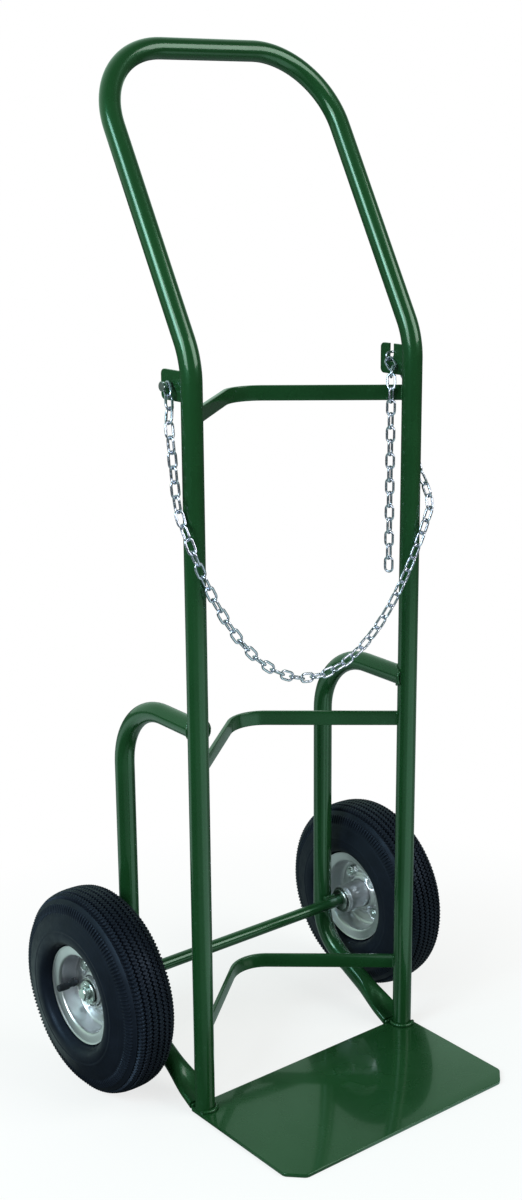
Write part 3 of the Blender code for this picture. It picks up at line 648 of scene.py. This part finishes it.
def lug_piece(word, side, with_slot):
    outline = lug_outline(with_slot)
    solid, soft = Solid(), offset_closed(outline, 0.0004)
    layers = ((-0.0017, soft), (-0.0013, outline), (0.0013, outline), (0.0017, soft))
    solid.block([solid.ring([Vector((side * UPRIGHT_X + x, y, z)) for y, z in shape])
                 for x, shape in layers])
    solid.put(word + "_chain_plate_steel", GREEN, "frame", [word + "_chain_plate"])
    for tag, s in (("outer", 1), ("inner", -1)):
        line = [Vector((side * UPRIGHT_X + s * 0.0028, 0.0127, 0.8885 + 0.031 * k / 14))
                for k in range(15)]
        for p in line:
            p.y += max(0.0, (p.z - 0.909)) ** 2 / 0.2
        bead(f"{word}_chain_plate_weld_{tag}", line, 0.0020)


def offset_closed(loop, distance):
    """Shrink a closed outline walked counter-clockwise in (y, z)."""
    out = []
    n = len(loop)
    for i, p in enumerate(loop):
        p = Vector(p)
        back = (p - Vector(loop[i - 1])).normalized()
        ahead = (Vector(loop[(i + 1) % n]) - p).normalized()
        total = back + ahead
        normal = Vector((-total.y, total.x)).normalized()
        out.append(tuple(p + normal * distance))
    return out


# ---------------------------------------------------------------- fasteners

ROUND = 72                # points round a fastener
THREAD_PITCH = 0.00125


def disc(radius):
    return circle(radius, ROUND, 0.0)


def hex_radius(angle, corner_r):
    """Distance to a hexagon's side in a direction."""
    a = (angle % (pi / 3)) - pi / 6
    return corner_r * cos(pi / 6) / cos(a)


def hex_rows(corner_r, near, far):
    """Rows of a hexagonal block with both faces chamfered to a circle."""
    flat, chamfer = corner_r * cos(pi / 6), 0.00055
    way = 1 if far > near else -1
    rows = []
    for along, limit in ((near, flat * 0.985), (near + way * chamfer, None),
                         (far - way * chamfer, None), (far, flat * 0.985)):
        row = []
        for i in range(ROUND):
            a = TAU * i / ROUND
            r = hex_radius(a, corner_r)
            if limit is not None:
                r = min(r, limit)
            row.append((r * cos(a), r * sin(a)))
        rows.append((along, row))
    return rows


def thread_rows(radius, near, far):
    """Rows of a rounded thread between two stations."""
    count = max(2, int(abs(far - near) / THREAD_PITCH) * 4)
    rows = []
    for k in range(count + 1):
        along = near + (far - near) * k / count
        r = radius * (1.0 - 0.055 * (0.5 + 0.5 * cos(k * pi / 2)))
        rows.append((along, disc(r)))
    return rows


def stacked(name, centre, side, rows, mat, body, replaced=(), angle=30):
    """A solid from (outboard, section) rows along X."""
    solid = Solid()
    solid.block([solid.ring(place((centre + X * (side * along), Y, Z), section))
                 for along, section in rows])
    solid.put(name, mat, body, replaced, angle)


def chain_bolt_pieces():
    centre = Vector((-UPRIGHT_X, PIVOT_Y, PIVOT_Z))
    shank = disc(0.0027)
    rows = hex_rows(0.0062, 0.0152, 0.0108) + [(0.0107, shank), (-0.0030, shank)]
    rows += thread_rows(0.0027, -0.0032, -0.0100) + [(-0.0105, disc(0.0020))]
    stacked("chain_bolt_hex", centre, -1, rows, BOLT_ZINC, "frame", ["chain_bolt"])
    solid, bore = Solid(), disc(0.0030)
    rows = [(-0.0020, bore)] + hex_rows(0.0060, -0.0020, -0.0070) + [(-0.0070, bore)]
    solid.skin([solid.ring(place((centre - X * along, Y, Z), section))
                for along, section in rows], closed=True)
    solid.put("chain_nut_hex", BOLT_ZINC, "frame", ["chain_nut"], 30)


# ---------------------------------------------------------------- chain

CAD_WIRE_FLAT = 0.0018 * cos(pi / 4)
LINK_END, LINK_SIDE, FINE, GROUP_STEP = 0.0095, 0.0050, 0.0001, 0.0012
PITCH = 2.0 * (LINK_END - CAD_WIRE_FLAT + FINE)
SWAG_LINKS = 33
TAIL_TURN = -0.39         # the hanging tail is turned about itself, in radians


def smooth_path(points):
    """Cut the corners of a path three times over."""
    path = [Vector(p) for p in points]
    for _ in range(3):
        cut = [path[0]]
        for a, b in zip(path, path[1:]):
            cut += [a.lerp(b, 0.25), a.lerp(b, 0.75)]
        path = cut + [path[-1]]
    return path


def point_at(path, distance):
    left = distance
    for a, b in zip(path, path[1:]):
        length = (b - a).length
        if left <= length:
            return a + (b - a) * (left / length)
        left -= length
    return path[-1] + (path[-1] - path[-2]).normalized() * left


def bisect(low, high, short_of, rounds=50):
    """The first value that is no longer short."""
    for _ in range(rounds):
        middle = (low + high) / 2.0
        if short_of(middle):
            low = middle
        else:
            high = middle
    return high


def step_along(path, start, count):
    """Joints one pitch apart along a path."""
    joints, at = [point_at(path, start)], start
    for _ in range(count):
        last = joints[-1]
        at = bisect(at, at + 2 * PITCH, lambda m: (point_at(path, m) - last).length < PITCH)
        joints.append(point_at(path, at))
    return joints, at


def hang(curve, span, links):
    """Joints of a chain hung from -span on a catenary."""
    points = [(-span, curve * math.cosh(span / curve))]
    for _ in range(links):
        x0, h0 = points[-1]
        x = bisect(x0, x0 + 2 * PITCH, lambda m: math.hypot(
            m - x0, curve * math.cosh(m / curve) - h0) < PITCH)
        points.append((x, curve * math.cosh(x / curve)))
    return points


def swag_joints(start):
    """The catenary that SWAG_LINKS links make between the two leads."""
    span, links = abs(start.x), SWAG_LINKS
    curve = bisect(0.05, 2.0, lambda c: hang(c, span, links)[-1][0] < span, 60)
    top = math.cosh(span / curve) * curve
    return [Vector((x, start.y, start.z + h - top)) for x, h in hang(curve, span, links)]


def add_link(solid, start, end, wide_in_path, sway):
    """A welded link: rounded ends, and a small swelling where its ends were joined."""
    tangent = (end - start).normalized()
    along_y = (Y - tangent * Y.dot(tangent)).normalized()
    wide = along_y.cross(tangent) if wide_in_path else along_y
    wide = Matrix.Rotation(sway, 3, tangent) @ wide
    normal = tangent.cross(wide)
    centre = (start + end) / 2.0
    straight = LINK_END - LINK_SIDE
    loop = []
    for s in (1, -1):
        for k in range(11):
            a = pi * k / 10 - pi / 2
            loop.append((s * (straight + LINK_SIDE * cos(a)), s * LINK_SIDE * sin(a)))
        for k in range(1, 6):
            loop.append((s * straight * (1 - k / 3), s * LINK_SIDE))
    points = [centre + tangent * a + wide * b for a, b in loop]
    rings = []
    for (point, _, v), (a, b) in zip(frames_along(points, normal, True), loop):
        swell = 1.0 + (0.10 * math.exp(-(a / 0.0011) ** 2) if b > 0.0049 else 0.0)
        rings.append(solid.ring(place((point, normal, v), circle(WIRE_R * swell, 12))))
    solid.skin(rings, closed=True)


def chain_run(name, joints, body, node, twist=0.0):
    solid = Solid()
    seed = len(name) * 1.7
    for i, (a, b) in enumerate(zip(joints, joints[1:])):
        sway = twist + 0.10 * noise.noise(Vector((i * 1.31, seed, 0.4)))
        add_link(solid, a, b, i % 2 == 1, sway)
    solid.put(name, CHAIN_ZINC, body, [node], 60)


def end_pin(joints):
    run = (joints[-1] - joints[-2]).normalized()
    return joints[-1] + run * (CAD_WIRE_FLAT - FINE)


def lead_joints(behind, bulge):
    """One lead, for the right side: from the slot link down past the upright to its front."""
    pivot = Vector((0.1755, PIVOT_Y, PIVOT_Z))
    drop = (Matrix.Rotation(behind, 3, "X") @ Vector((0.24, -0.60, -0.76))).normalized()
    bow = Vector((0.62, -0.78, 0.0)) * bulge
    points = [pivot - drop * 0.0037, pivot + drop * 0.022]
    for point, share in (((0.1884, 0.0170, 0.8700), 1.0), ((0.1893, 0.0105, 0.8400), 1.0),
                         ((0.1891, 0.0069, 0.8031), 0.75), ((0.1890, 0.0020, 0.7680), 0.35)):
        arm = Vector(point) - pivot
        points.append(pivot + Matrix.Rotation(behind * share, 3, "X") @ arm + bow * share)
    path = smooth_path(points + [(0.1882, -0.0100, 0.7450), (0.1850, -0.0203, 0.7270),
                                 (0.1790, -0.0203, 0.6900)])
    return step_along(path, 0.0, 12)[0]


def chain_pieces():
    right = lead_joints(radians(8.5), 0.0)
    bulge = bisect(0.0, 0.040, lambda b: lead_joints(0.0, b)[-1].z < right[-1].z, 40)
    left = [Vector((-p.x, p.y, p.z)) for p in lead_joints(0.0, bulge)]
    chain_run("chain_left_lead_links", left, "left_lead", "chain_left_lead")
    chain_run("chain_right_lead_links", right, "right_lead", "chain_right_lead")
    run = (left[-1] - left[-2]).normalized()
    chain_run("chain_swag_links", swag_joints(left[-1] - run * GROUP_STEP), "swag", "chain_swag")
    centre = Vector((UPRIGHT_X, PIVOT_Y, PIVOT_Z + LINK_SIDE))
    solid = Solid()
    add_link(solid, centre - X * PITCH / 2, centre + X * PITCH / 2, True, 0.0)
    solid.put("chain_slot_link_ring", CHAIN_ZINC, "frame", ["chain_slot_link"], 60)
    pivot = Vector((0.1628, PIVOT_Y, PIVOT_Z))
    drop = Vector((-0.16, -0.75, -0.62)).normalized()
    path = smooth_path([pivot - drop * 0.0026, pivot + drop * 0.018,
                        (0.1470, 0.0160, 0.8915), (0.1440, 0.0110, 0.8780),
                        (0.1440, 0.0118, 0.8500), (0.1440, 0.0120, 0.6000)])
    at = 0.0
    for word, count in (("upper", 4), ("middle", 6), ("lower", 7)):
        joints, at = step_along(path, at, count)
        chain_run(f"chain_tail_{word}_links", joints, "tail_" + word, "chain_tail_" + word,
                  TAIL_TURN)
        at -= GROUP_STEP


# ---------------------------------------------------------------- wheels

TEETH = 156
SAMPLES = 6
TYRE_HALF_W = 0.0424


def zigzag(k):
    """Triangle wave between -1 and 1 over one tooth."""
    t = (k % SAMPLES) / SAMPLES
    return 4 * t - 1 if t < 0.5 else 3 - 4 * t


def tyre_rows():
    """Outer half section as (radius, outboard, zigzag weight, rib weight)."""
    crown = spline([(0.1320, 0.0), (0.1318, 0.0060), (0.1313, 0.0115), (0.1291, 0.0200),
                    (0.1245, 0.0262), (0.1170, 0.0312), (0.1060, 0.0355), (0.0950, 0.0392),
                    (0.0860, 0.0416), (0.0790, 0.0424), (0.0730, 0.0414), (0.0690, 0.0380),
                    (0.0664, 0.0320), (0.0652, 0.0272), (0.0622, 0.0251)], 8)

    def radius_at(x):
        for a, b in zip(crown, crown[1:]):
            if a.y <= x <= b.y:
                return a.x + (b.x - a.x) * (x - a.y) / max(1e-9, b.y - a.y)
        return crown[0].x

    rows = []
    depth, wall = 0.0034, 0.0006
    for x, half in ((0.0, 0.0020), (0.0086, 0.0018), (0.0170, 0.0018)):
        if x == 0.0:
            rows += [(radius_at(0.0) - depth, 0.0, 1.0, 0.0)]
        else:
            rows += [(radius_at(x - half), x - half, 1.0, 0.0),
                     (radius_at(x) - depth, x - half + wall, 1.0, 0.0)]
        rows += [(radius_at(x) - depth, x + half - wall, 1.0, 0.0),
                 (radius_at(x + half), x + half, 1.0, 0.0)]
        rows += [(radius_at(x + half + d), x + half + d, 0.5, weight)
                 for d, weight in ((0.0014, 0.0), (0.0020, -1.0), (0.0036, -1.0), (0.0042, 0.0))]
    rows += [(radius_at(0.0236), 0.0236, 1.0, 0.0),
             (radius_at(0.0246) - 0.0022, 0.0243, 1.0, 0.0),
             (radius_at(0.0258) - 0.0016, 0.0256, 0.6, 0.0)]
    for point in crown:
        if point.y < 0.0268 and point.x > 0.12:
            continue
        rib = 0.0
        if 0.1070 < point.x < 0.1190:
            rib = min(1.0, (point.x - 0.1070) / 0.0030, (0.1190 - point.x) / 0.0012)
        rows.append((point.x, point.y, 0.0, rib))
    inside = [(0.0600, 0.0248), (0.0536, 0.0243), (0.0526, 0.0236), (0.0524, 0.0226),
              (0.0524, 0.0150), (0.0560, 0.0146), (0.0640, 0.0215), (0.0740, 0.0330),
              (0.0840, 0.0355), (0.0980, 0.0325), (0.1110, 0.0275), (0.1190, 0.0215),
              (0.1245, 0.0120), (0.1256, 0.0050)]
    return with_rings(rows) + [(r, x, 0.0, 0.0) for r, x in inside]


def with_rings(rows):
    """Raise thin moulded rings on the lower sidewall."""
    out = []
    for r, x, zig, rib in rows:
        lift = 0.0
        for at, width, height in ((0.1040, 0.0009, 0.0006), (0.1008, 0.0007, 0.0004),
                                  (0.0868, 0.0010, 0.0005), (0.0838, 0.0006, -0.0004)):
            lift += height * math.exp(-((r - at) / width) ** 2)
        out.append((r, min(TYRE_HALF_W, x + lift), zig, rib))
    return out


def tyre_piece(word, side):
    half = tyre_rows()
    rows = half + [(r, -x, z, b) for r, x, z, b in half[:0:-1]]
    centre = wheel_centre(side)
    pulse, notch = (0.0, 1.0, 1.0, 0.9, 0.0, 0.0), (1.0, 1.0, 0.0, 0.0, 0.0, 0.0)
    solid, rings = Solid(), []
    for k in range(TEETH * SAMPLES):
        angle = TAU * k / (TEETH * SAMPLES)
        radial = spoke(angle)
        zig = zigzag(k)
        rib = pulse[k % SAMPLES]
        row = []
        for r, x, zw, rw in rows:
            way = 1.0 if x >= 0.0 else -1.0
            px = x + 0.0016 * zig * zw
            if rw > 0.0:
                px = way * min(TYRE_HALF_W, abs(px) + 0.0015 * rib * rw)
                r = min(0.1319, r + 0.0009 * rib * rw)
            elif rw < 0.0:
                r -= 0.0010 * notch[k % SAMPLES]
            row.append(centre + radial * r + X * (side * px))
        rings.append(solid.ring(row))
    solid.skin(rings, closed=True)
    solid.put(word + "_tyre_treaded", TYRE, word + "_wheel", [word + "_tyre"], 34)


def rim_piece(word, side, outward):
    flange = spline([(0.0630, 0.0290), (0.0633, 0.0282), (0.0627, 0.0275), (0.0608, 0.0271),
                     (0.0570, 0.0266), (0.0530, 0.0260), (0.0514, 0.0250), (0.0506, 0.0232),
                     (0.0503, 0.0190), (0.0501, 0.0120), (0.0500, 0.0060), (0.0494, 0.0034),
                     (0.0480, 0.0018), (0.0462, 0.0011)], 4)
    path = [(p.x, p.y) for p in flange] + [(0.0455 - 0.00105 * k, 0.00095) for k in range(25)]
    profile = offset_path(path, 0.0008) + offset_path(path, -0.0008)[::-1]

    def shape(r, x, angle):
        if r < 0.0456:
            pocket = 1.0
            for k in range(4):
                a = radians(45 + 90 * k)
                gap = math.hypot(r * cos(angle) - 0.035 * cos(a),
                                 r * sin(angle) - 0.035 * sin(a))
                pocket = min(pocket, ease((gap - 0.0100) / 0.0030))
            pad = ease((0.0448 - r) / 0.0030) * ease((r - 0.0262) / 0.0030)
            boss = ease((0.0335 - r) / 0.0110)
            x += (0.0028 * pad + 0.0085 * boss) * pocket
        return r, x * outward

    half = "outer" if outward > 0 else "inner"
    turned(f"{word}_rim_{half}_pressing", profile, side, WHEEL_ZINC, word + "_wheel",
           [f"{word}_rim_{half}_half"], 50, 144, shape)


def rim_bolt_piece(word, side, index):
    a = radians(45.0 + 90.0 * index)
    centre = wheel_centre(side) + spoke(a) * 0.035
    rows = hex_rows(0.0074, 0.0072, 0.0024)
    rows += [(along, disc(r)) for along, r in ((0.0024, 0.0084), (0.0019, 0.0084),
                                               (0.0019, 0.0038), (-0.0019, 0.0038))]
    rows += hex_rows(0.0074, -0.0020, -0.0084) + [(-0.0084, disc(0.0037))]
    rows += thread_rows(0.0038, -0.0085, -0.0104) + [(-0.0108, disc(0.0030))]
    stacked(f"{word}_rim_bolt_{index + 1}_hex", centre, side, rows, BOLT_ZINC, word + "_wheel",
            [f"{word}_rim_bolt_{index + 1}"])


def hub_pieces(word, side):
    r, a, b = 0.0190, -0.0468, 0.0150
    profile = [(r - 0.0012, a), (r - 0.0003, a + 0.0003), (r, a + 0.0012), (r, a + 0.0050),
               (r - 0.0005, a + 0.0056), (r - 0.0005, a + 0.0068), (r, a + 0.0074),
               (r, -0.0060), (r, 0.0060), (r, b - 0.0012), (r - 0.0003, b - 0.0003),
               (r - 0.0012, b), (0.0180, b - 0.0002), (0.0180, b - 0.0122),
               (0.0155, b - 0.0124), (0.0155, a + 0.0124), (0.0180, a + 0.0122),
               (0.0180, a + 0.0002)]
    turned(word + "_hub_turned", profile, side, WHEEL_ZINC, word + "_wheel",
           [word + "_hub_tube"], 40)
    for tag, face, way in (("outboard", b, -1), ("inboard", a, 1)):
        ring = chamfered([(0.0175, 0.0), (0.0175, 0.0110), (0.0142, 0.0110), (0.0142, 0.0)],
                         0.0004)
        turned(f"{word}_{tag}_bearing_outer_race",
               [(r2, face + way * (x + 0.0003)) for r2, x in ring], side, STEEL,
               word + "_wheel", [f"{word}_{tag}_bearing_outer_ring"])
        seal = [(0.0143, 0.0010), (0.0138, 0.0006), (0.0128, 0.0008), (0.0120, 0.0013),
                (0.0114, 0.0010), (0.0112, 0.0016), (0.0116, 0.0024), (0.0143, 0.0024)]
        turned(f"{word}_{tag}_bearing_seal",
               [(r2, face + way * (x + 0.0003)) for r2, x in seal], side, SEAL,
               word + "_wheel")
        inner = chamfered([(0.0108, -0.0004), (0.0108, 0.0110), (0.0083, 0.0110),
                           (0.0083, -0.0004)], 0.0004)
        turned(f"{word}_{tag}_bearing_inner_race", [(r2, face + way * x) for r2, x in inner],
               side, STEEL, "frame", [f"{word}_{tag}_bearing_inner_ring"])


def washer_pieces(word, side):
    inner = BRACE_X + TUBE_R - WHEEL_X
    for tag, near, far in (("inboard", inner + 0.0006, -0.0476), ("outboard", 0.0158, 0.0182)):
        ring = chamfered([(0.0150, near), (0.0150, far), (0.0083, far), (0.0083, near)], 0.0004)
        turned(f"{word}_{tag}_washer_plain", ring, side, BOLT_ZINC, "frame",
               [f"{word}_{tag}_washer"])


def cotter_piece(word, side):
    leg = 0.00095
    half = [(0.0050, -0.0122), (0.0022, -0.0106), (leg, -0.0092), (leg, 0.0086),
            (0.0024, 0.0106), (0.0026, 0.0126), (0.0014, 0.0140)]
    plane = half + [(0.0, 0.0142)] + [(-a, b) for a, b in half[::-1]]
    x = side * (WHEEL_X + 0.0214)
    path = spline([Vector((x, AXLE_Y + a, AXLE_Z + b)) for a, b in plane], 5)
    section = circle(0.00075, 14)
    solid = Solid()
    sweep(solid, path, X, lambda i: section)
    solid.put(word + "_cotter_pin_split", BOLT_ZINC, "frame", [word + "_cotter_pin"], 60)


def valve_pieces(word, side):
    centre = wheel_centre(side)
    out, turn, tip = X * side, radians(-8.0), 0.0360
    arm = spoke(turn)
    middle = centre + arm * 0.0414
    path = resample(round_corners([centre + out * 0.0075 + arm * 0.0524, middle + out * 0.0075,
                                   middle + out * (tip - 0.0030)], [0.0050], 14), 60)

    def section(i):
        if i > 40:
            return circle(0.0031 + 0.00012 * cos(i * pi), 32)
        return circle(0.0034 + 0.0010 * ease((30 - i) / 6), 32)

    solid = Solid()
    sweep(solid, path, Z, section, lambda i: circle(0.0012, 32))
    solid.put(word + "_valve_stem_bent", VALVE, word + "_wheel", [word + "_valve_stem"], 50)
    cap, rings = Solid(), []
    for back, r, ridge in ((0.0022, 0.0036, 0), (0.0155, 0.0036, 0), (0.0155, 0.0045, 0),
                           (0.0151, 0.0048, 1), (0.0052, 0.0048, 1), (0.0045, 0.0045, 0),
                           (0.0014, 0.0044, 0), (0.0005, 0.0038, 0), (0.0, 0.0028, 0)):
        row = []
        for i in range(64):
            here = r - (0.00035 if ridge and i % 4 < 2 else 0.0)
            row.append((here * cos(TAU * i / 64), here * sin(TAU * i / 64)))
        rings.append(cap.ring(place((middle + out * (tip - back), Y, Z), row)))
    cap.block(rings)
    cap.put(word + "_valve_cap_ribbed", VALVE, word + "_wheel", [word + "_valve_cap"], 40)


def wheel_pieces(word, side):
    tyre_piece(word, side)
    for outward in (1, -1):
        rim_piece(word, side, outward)
    for index in range(4):
        rim_bolt_piece(word, side, index)
    hub_pieces(word, side)
    washer_pieces(word, side)
    cotter_piece(word, side)
    valve_pieces(word, side)
    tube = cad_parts[word + "_inner_tube"]
    tube.data.materials.clear()
    tube.data.materials.append(VALVE)


# ---------------------------------------------------------------- studio

def studio():
    side, mesh = 14.0, bpy.data.meshes.new("studio_floor")
    mesh.from_pydata([(-side, -side, 0), (side, -side, 0), (side, side, 0), (-side, side, 0)],
                     [], [(0, 1, 2, 3)])
    floor = bpy.data.objects.new("studio_floor", mesh)
    floor.location.z = -0.0004
    mesh.materials.append(floor_look())
    bpy.context.scene.collection.objects.link(floor)
    studio_world()
    for name, place_at, size, power, tint in STUDIO_LIGHTS:
        light = bpy.data.lights.new(name, "AREA")
        light.shape = "RECTANGLE"
        light.size, light.size_y = size
        light.energy = power
        light.color = tint
        lamp = bpy.data.objects.new(name, light)
        lamp.location = place_at
        aim = Vector((0.0, 0.0, 0.5)) - Vector(place_at)
        lamp.rotation_euler = aim.to_track_quat("-Z", "Y").to_euler()
        bpy.context.scene.collection.objects.link(lamp)


# Name, place, size, power in watts and colour
STUDIO_LIGHTS = (
    ("key_right", (1.6, -2.6, 2.5), (2.3, 2.1), 86.0, (1.0, 1.0, 0.97)),
    ("fill_left", (-2.9, -0.7, 1.9), (1.6, 1.7), 60.0, (0.90, 0.98, 1.0)),
    ("high_left", (-2.7, 0.0, 2.2), (1.0, 1.4), 44.0, (0.60, 0.92, 1.0)),
)


def floor_look():
    """Pale floor that fades to the backdrop's white; it throws little light back up."""
    look = Look("studio_floor_pale", "studio")
    tree = look.tree
    tree.nodes.remove(look.shader)
    out = tree.nodes["Material Output"]
    pale = look.node("ShaderNodeBsdfDiffuse", Color=(0.90, 0.90, 0.90, 1.0))
    dim = look.node("ShaderNodeBsdfDiffuse", Color=(0.42, 0.42, 0.42, 1.0))
    cards = look.node("ShaderNodeEmission", Strength=1.0)
    look.link(reflector_cards(look), cards.inputs["Color"])
    white = look.node("ShaderNodeEmission", Color=(1.0, 1.0, 1.0, 1.0), Strength=1.0)
    rays = look.node("ShaderNodeLightPath").outputs
    low = look.blend(rays["Is Glossy Ray"], dim.outputs[0], cards.outputs[0])
    fade = look.blend(look.spread(look.distance(), 0.20, 0.80, 0.74, 1.0), pale.outputs[0],
                      white.outputs[0])
    look.link(look.blend(rays["Is Camera Ray"], low, fade), out.inputs["Surface"])
    return look.mat


# Angle round the truck in degrees and how bright the floor is mirrored there
CARD_TURNS = ((-180, 0.30), (-122, 0.30), (-112, 0.80), (-94, 0.80), (-84, 0.06), (-38, 0.08),
              (-24, 0.35), (10, 0.45), (24, 1.30), (84, 1.30), (98, 0.30), (180, 0.30))


def reflector_cards(look):
    """Light and dark sectors round the truck, as upright tubes mirror them off the floor."""
    sides = []
    for way in ((0.781, -0.624, 0.0), (-0.624, -0.781, 0.0)):
        along = look.node("ShaderNodeVectorMath", operation="DOT_PRODUCT")
        look.link(look.coords, along.inputs[0])
        along.inputs[1].default_value = way
        sides.append(along.outputs["Value"])
    turn = look.node("ShaderNodeMath", operation="ARCTAN2")
    look.link(sides[0], turn.inputs[0])
    look.link(sides[1], turn.inputs[1])
    share = look.spread(turn.outputs[0], -pi, pi, 0.0, 1.0)
    tone = look.ramp(share, [((at + 180) / 360, (level * 0.74, level, level * 0.93))
                             for at, level in CARD_TURNS])
    return look.mix(look.spread(look.distance(), 1.7, 3.0, 0.0, 1.0), tone, (0.05, 0.06, 0.06))


def studio_world():
    """White to the camera; to the truck, a dim room with a bright backdrop behind it."""
    world = bpy.data.worlds.new("studio_world")
    world.use_nodes = True
    tree = world.node_tree
    room = tree.nodes["Background"]
    white = tree.nodes.new("ShaderNodeBackground")
    white.inputs["Strength"].default_value = 1.0
    white.inputs["Color"].default_value = (1.0, 1.0, 1.0, 1.0)
    facing = tree.nodes.new("ShaderNodeVectorMath")
    facing.operation = "DOT_PRODUCT"
    facing.inputs[1].default_value = (0.10, 0.98, 0.10)
    tree.links.new(tree.nodes.new("ShaderNodeTexCoord").outputs["Generated"], facing.inputs[0])
    ramp = tree.nodes.new("ShaderNodeMapRange")
    for index, value in enumerate((0.10, 0.75, 0.12, 0.74)):
        ramp.inputs[index + 1].default_value = value
    tree.links.new(facing.outputs["Value"], ramp.inputs["Value"])
    room.inputs["Color"].default_value = (0.70, 1.0, 0.82, 1.0)
    tree.links.new(ramp.outputs["Result"], room.inputs["Strength"])
    mix = tree.nodes.new("ShaderNodeMixShader")
    tree.links.new(tree.nodes.new("ShaderNodeLightPath").outputs["Is Camera Ray"], mix.inputs[0])
    tree.links.new(room.outputs[0], mix.inputs[1])
    tree.links.new(white.outputs[0], mix.inputs[2])
    tree.links.new(mix.outputs[0], tree.nodes["World Output"].inputs["Surface"])
    bpy.context.scene.world = world


CAMERA_AT = (-1.280318, -1.514368, 1.171975)
CAMERA_TURN, CAMERA_RISE, CAMERA_ROLL = -38.61, 15.835, -0.452      # degrees
SENSOR_MM, LENS_MM = 36.0, 50.991
LENS_SHIFT = (-0.00075, 0.0153333)


def camera():
    a, e, roll = (radians(d) for d in (CAMERA_TURN, CAMERA_RISE, CAMERA_ROLL))
    back = Vector((sin(a) * cos(e), -cos(a) * cos(e), sin(e)))
    right = (-back).cross(Z).normalized()
    up = right.cross(-back)
    right, up = (right * cos(roll) + up * sin(roll),
                 up * cos(roll) - right * sin(roll))
    data = bpy.data.cameras.new("studio_camera")
    data.sensor_width, data.lens = SENSOR_MM, LENS_MM
    data.shift_x, data.shift_y = LENS_SHIFT
    cam = bpy.data.objects.new("studio_camera", data)
    spin = Matrix((right, up, back)).transposed().to_4x4()
    cam.matrix_world = Matrix.Translation(CAMERA_AT) @ spin
    bpy.context.scene.collection.objects.link(cam)
    bpy.context.scene.camera = cam


tube_piece()
plate_piece()
for bar, height in (("top", 0.8672), ("middle", 0.4431), ("lower", 0.0952)):
    bar_piece(bar + "_cradle_bar", height)
for word, side in (("left", -1), ("right", 1)):
    brace_piece(word, side)
    foot_weld_piece(word, side)
    lug_piece(word, side, side > 0)
    wheel_pieces(word, side)
axle_piece()
chain_bolt_pieces()
chain_pieces()
studio()
camera()
bpy.context.scene.view_settings.view_transform = "Standard"
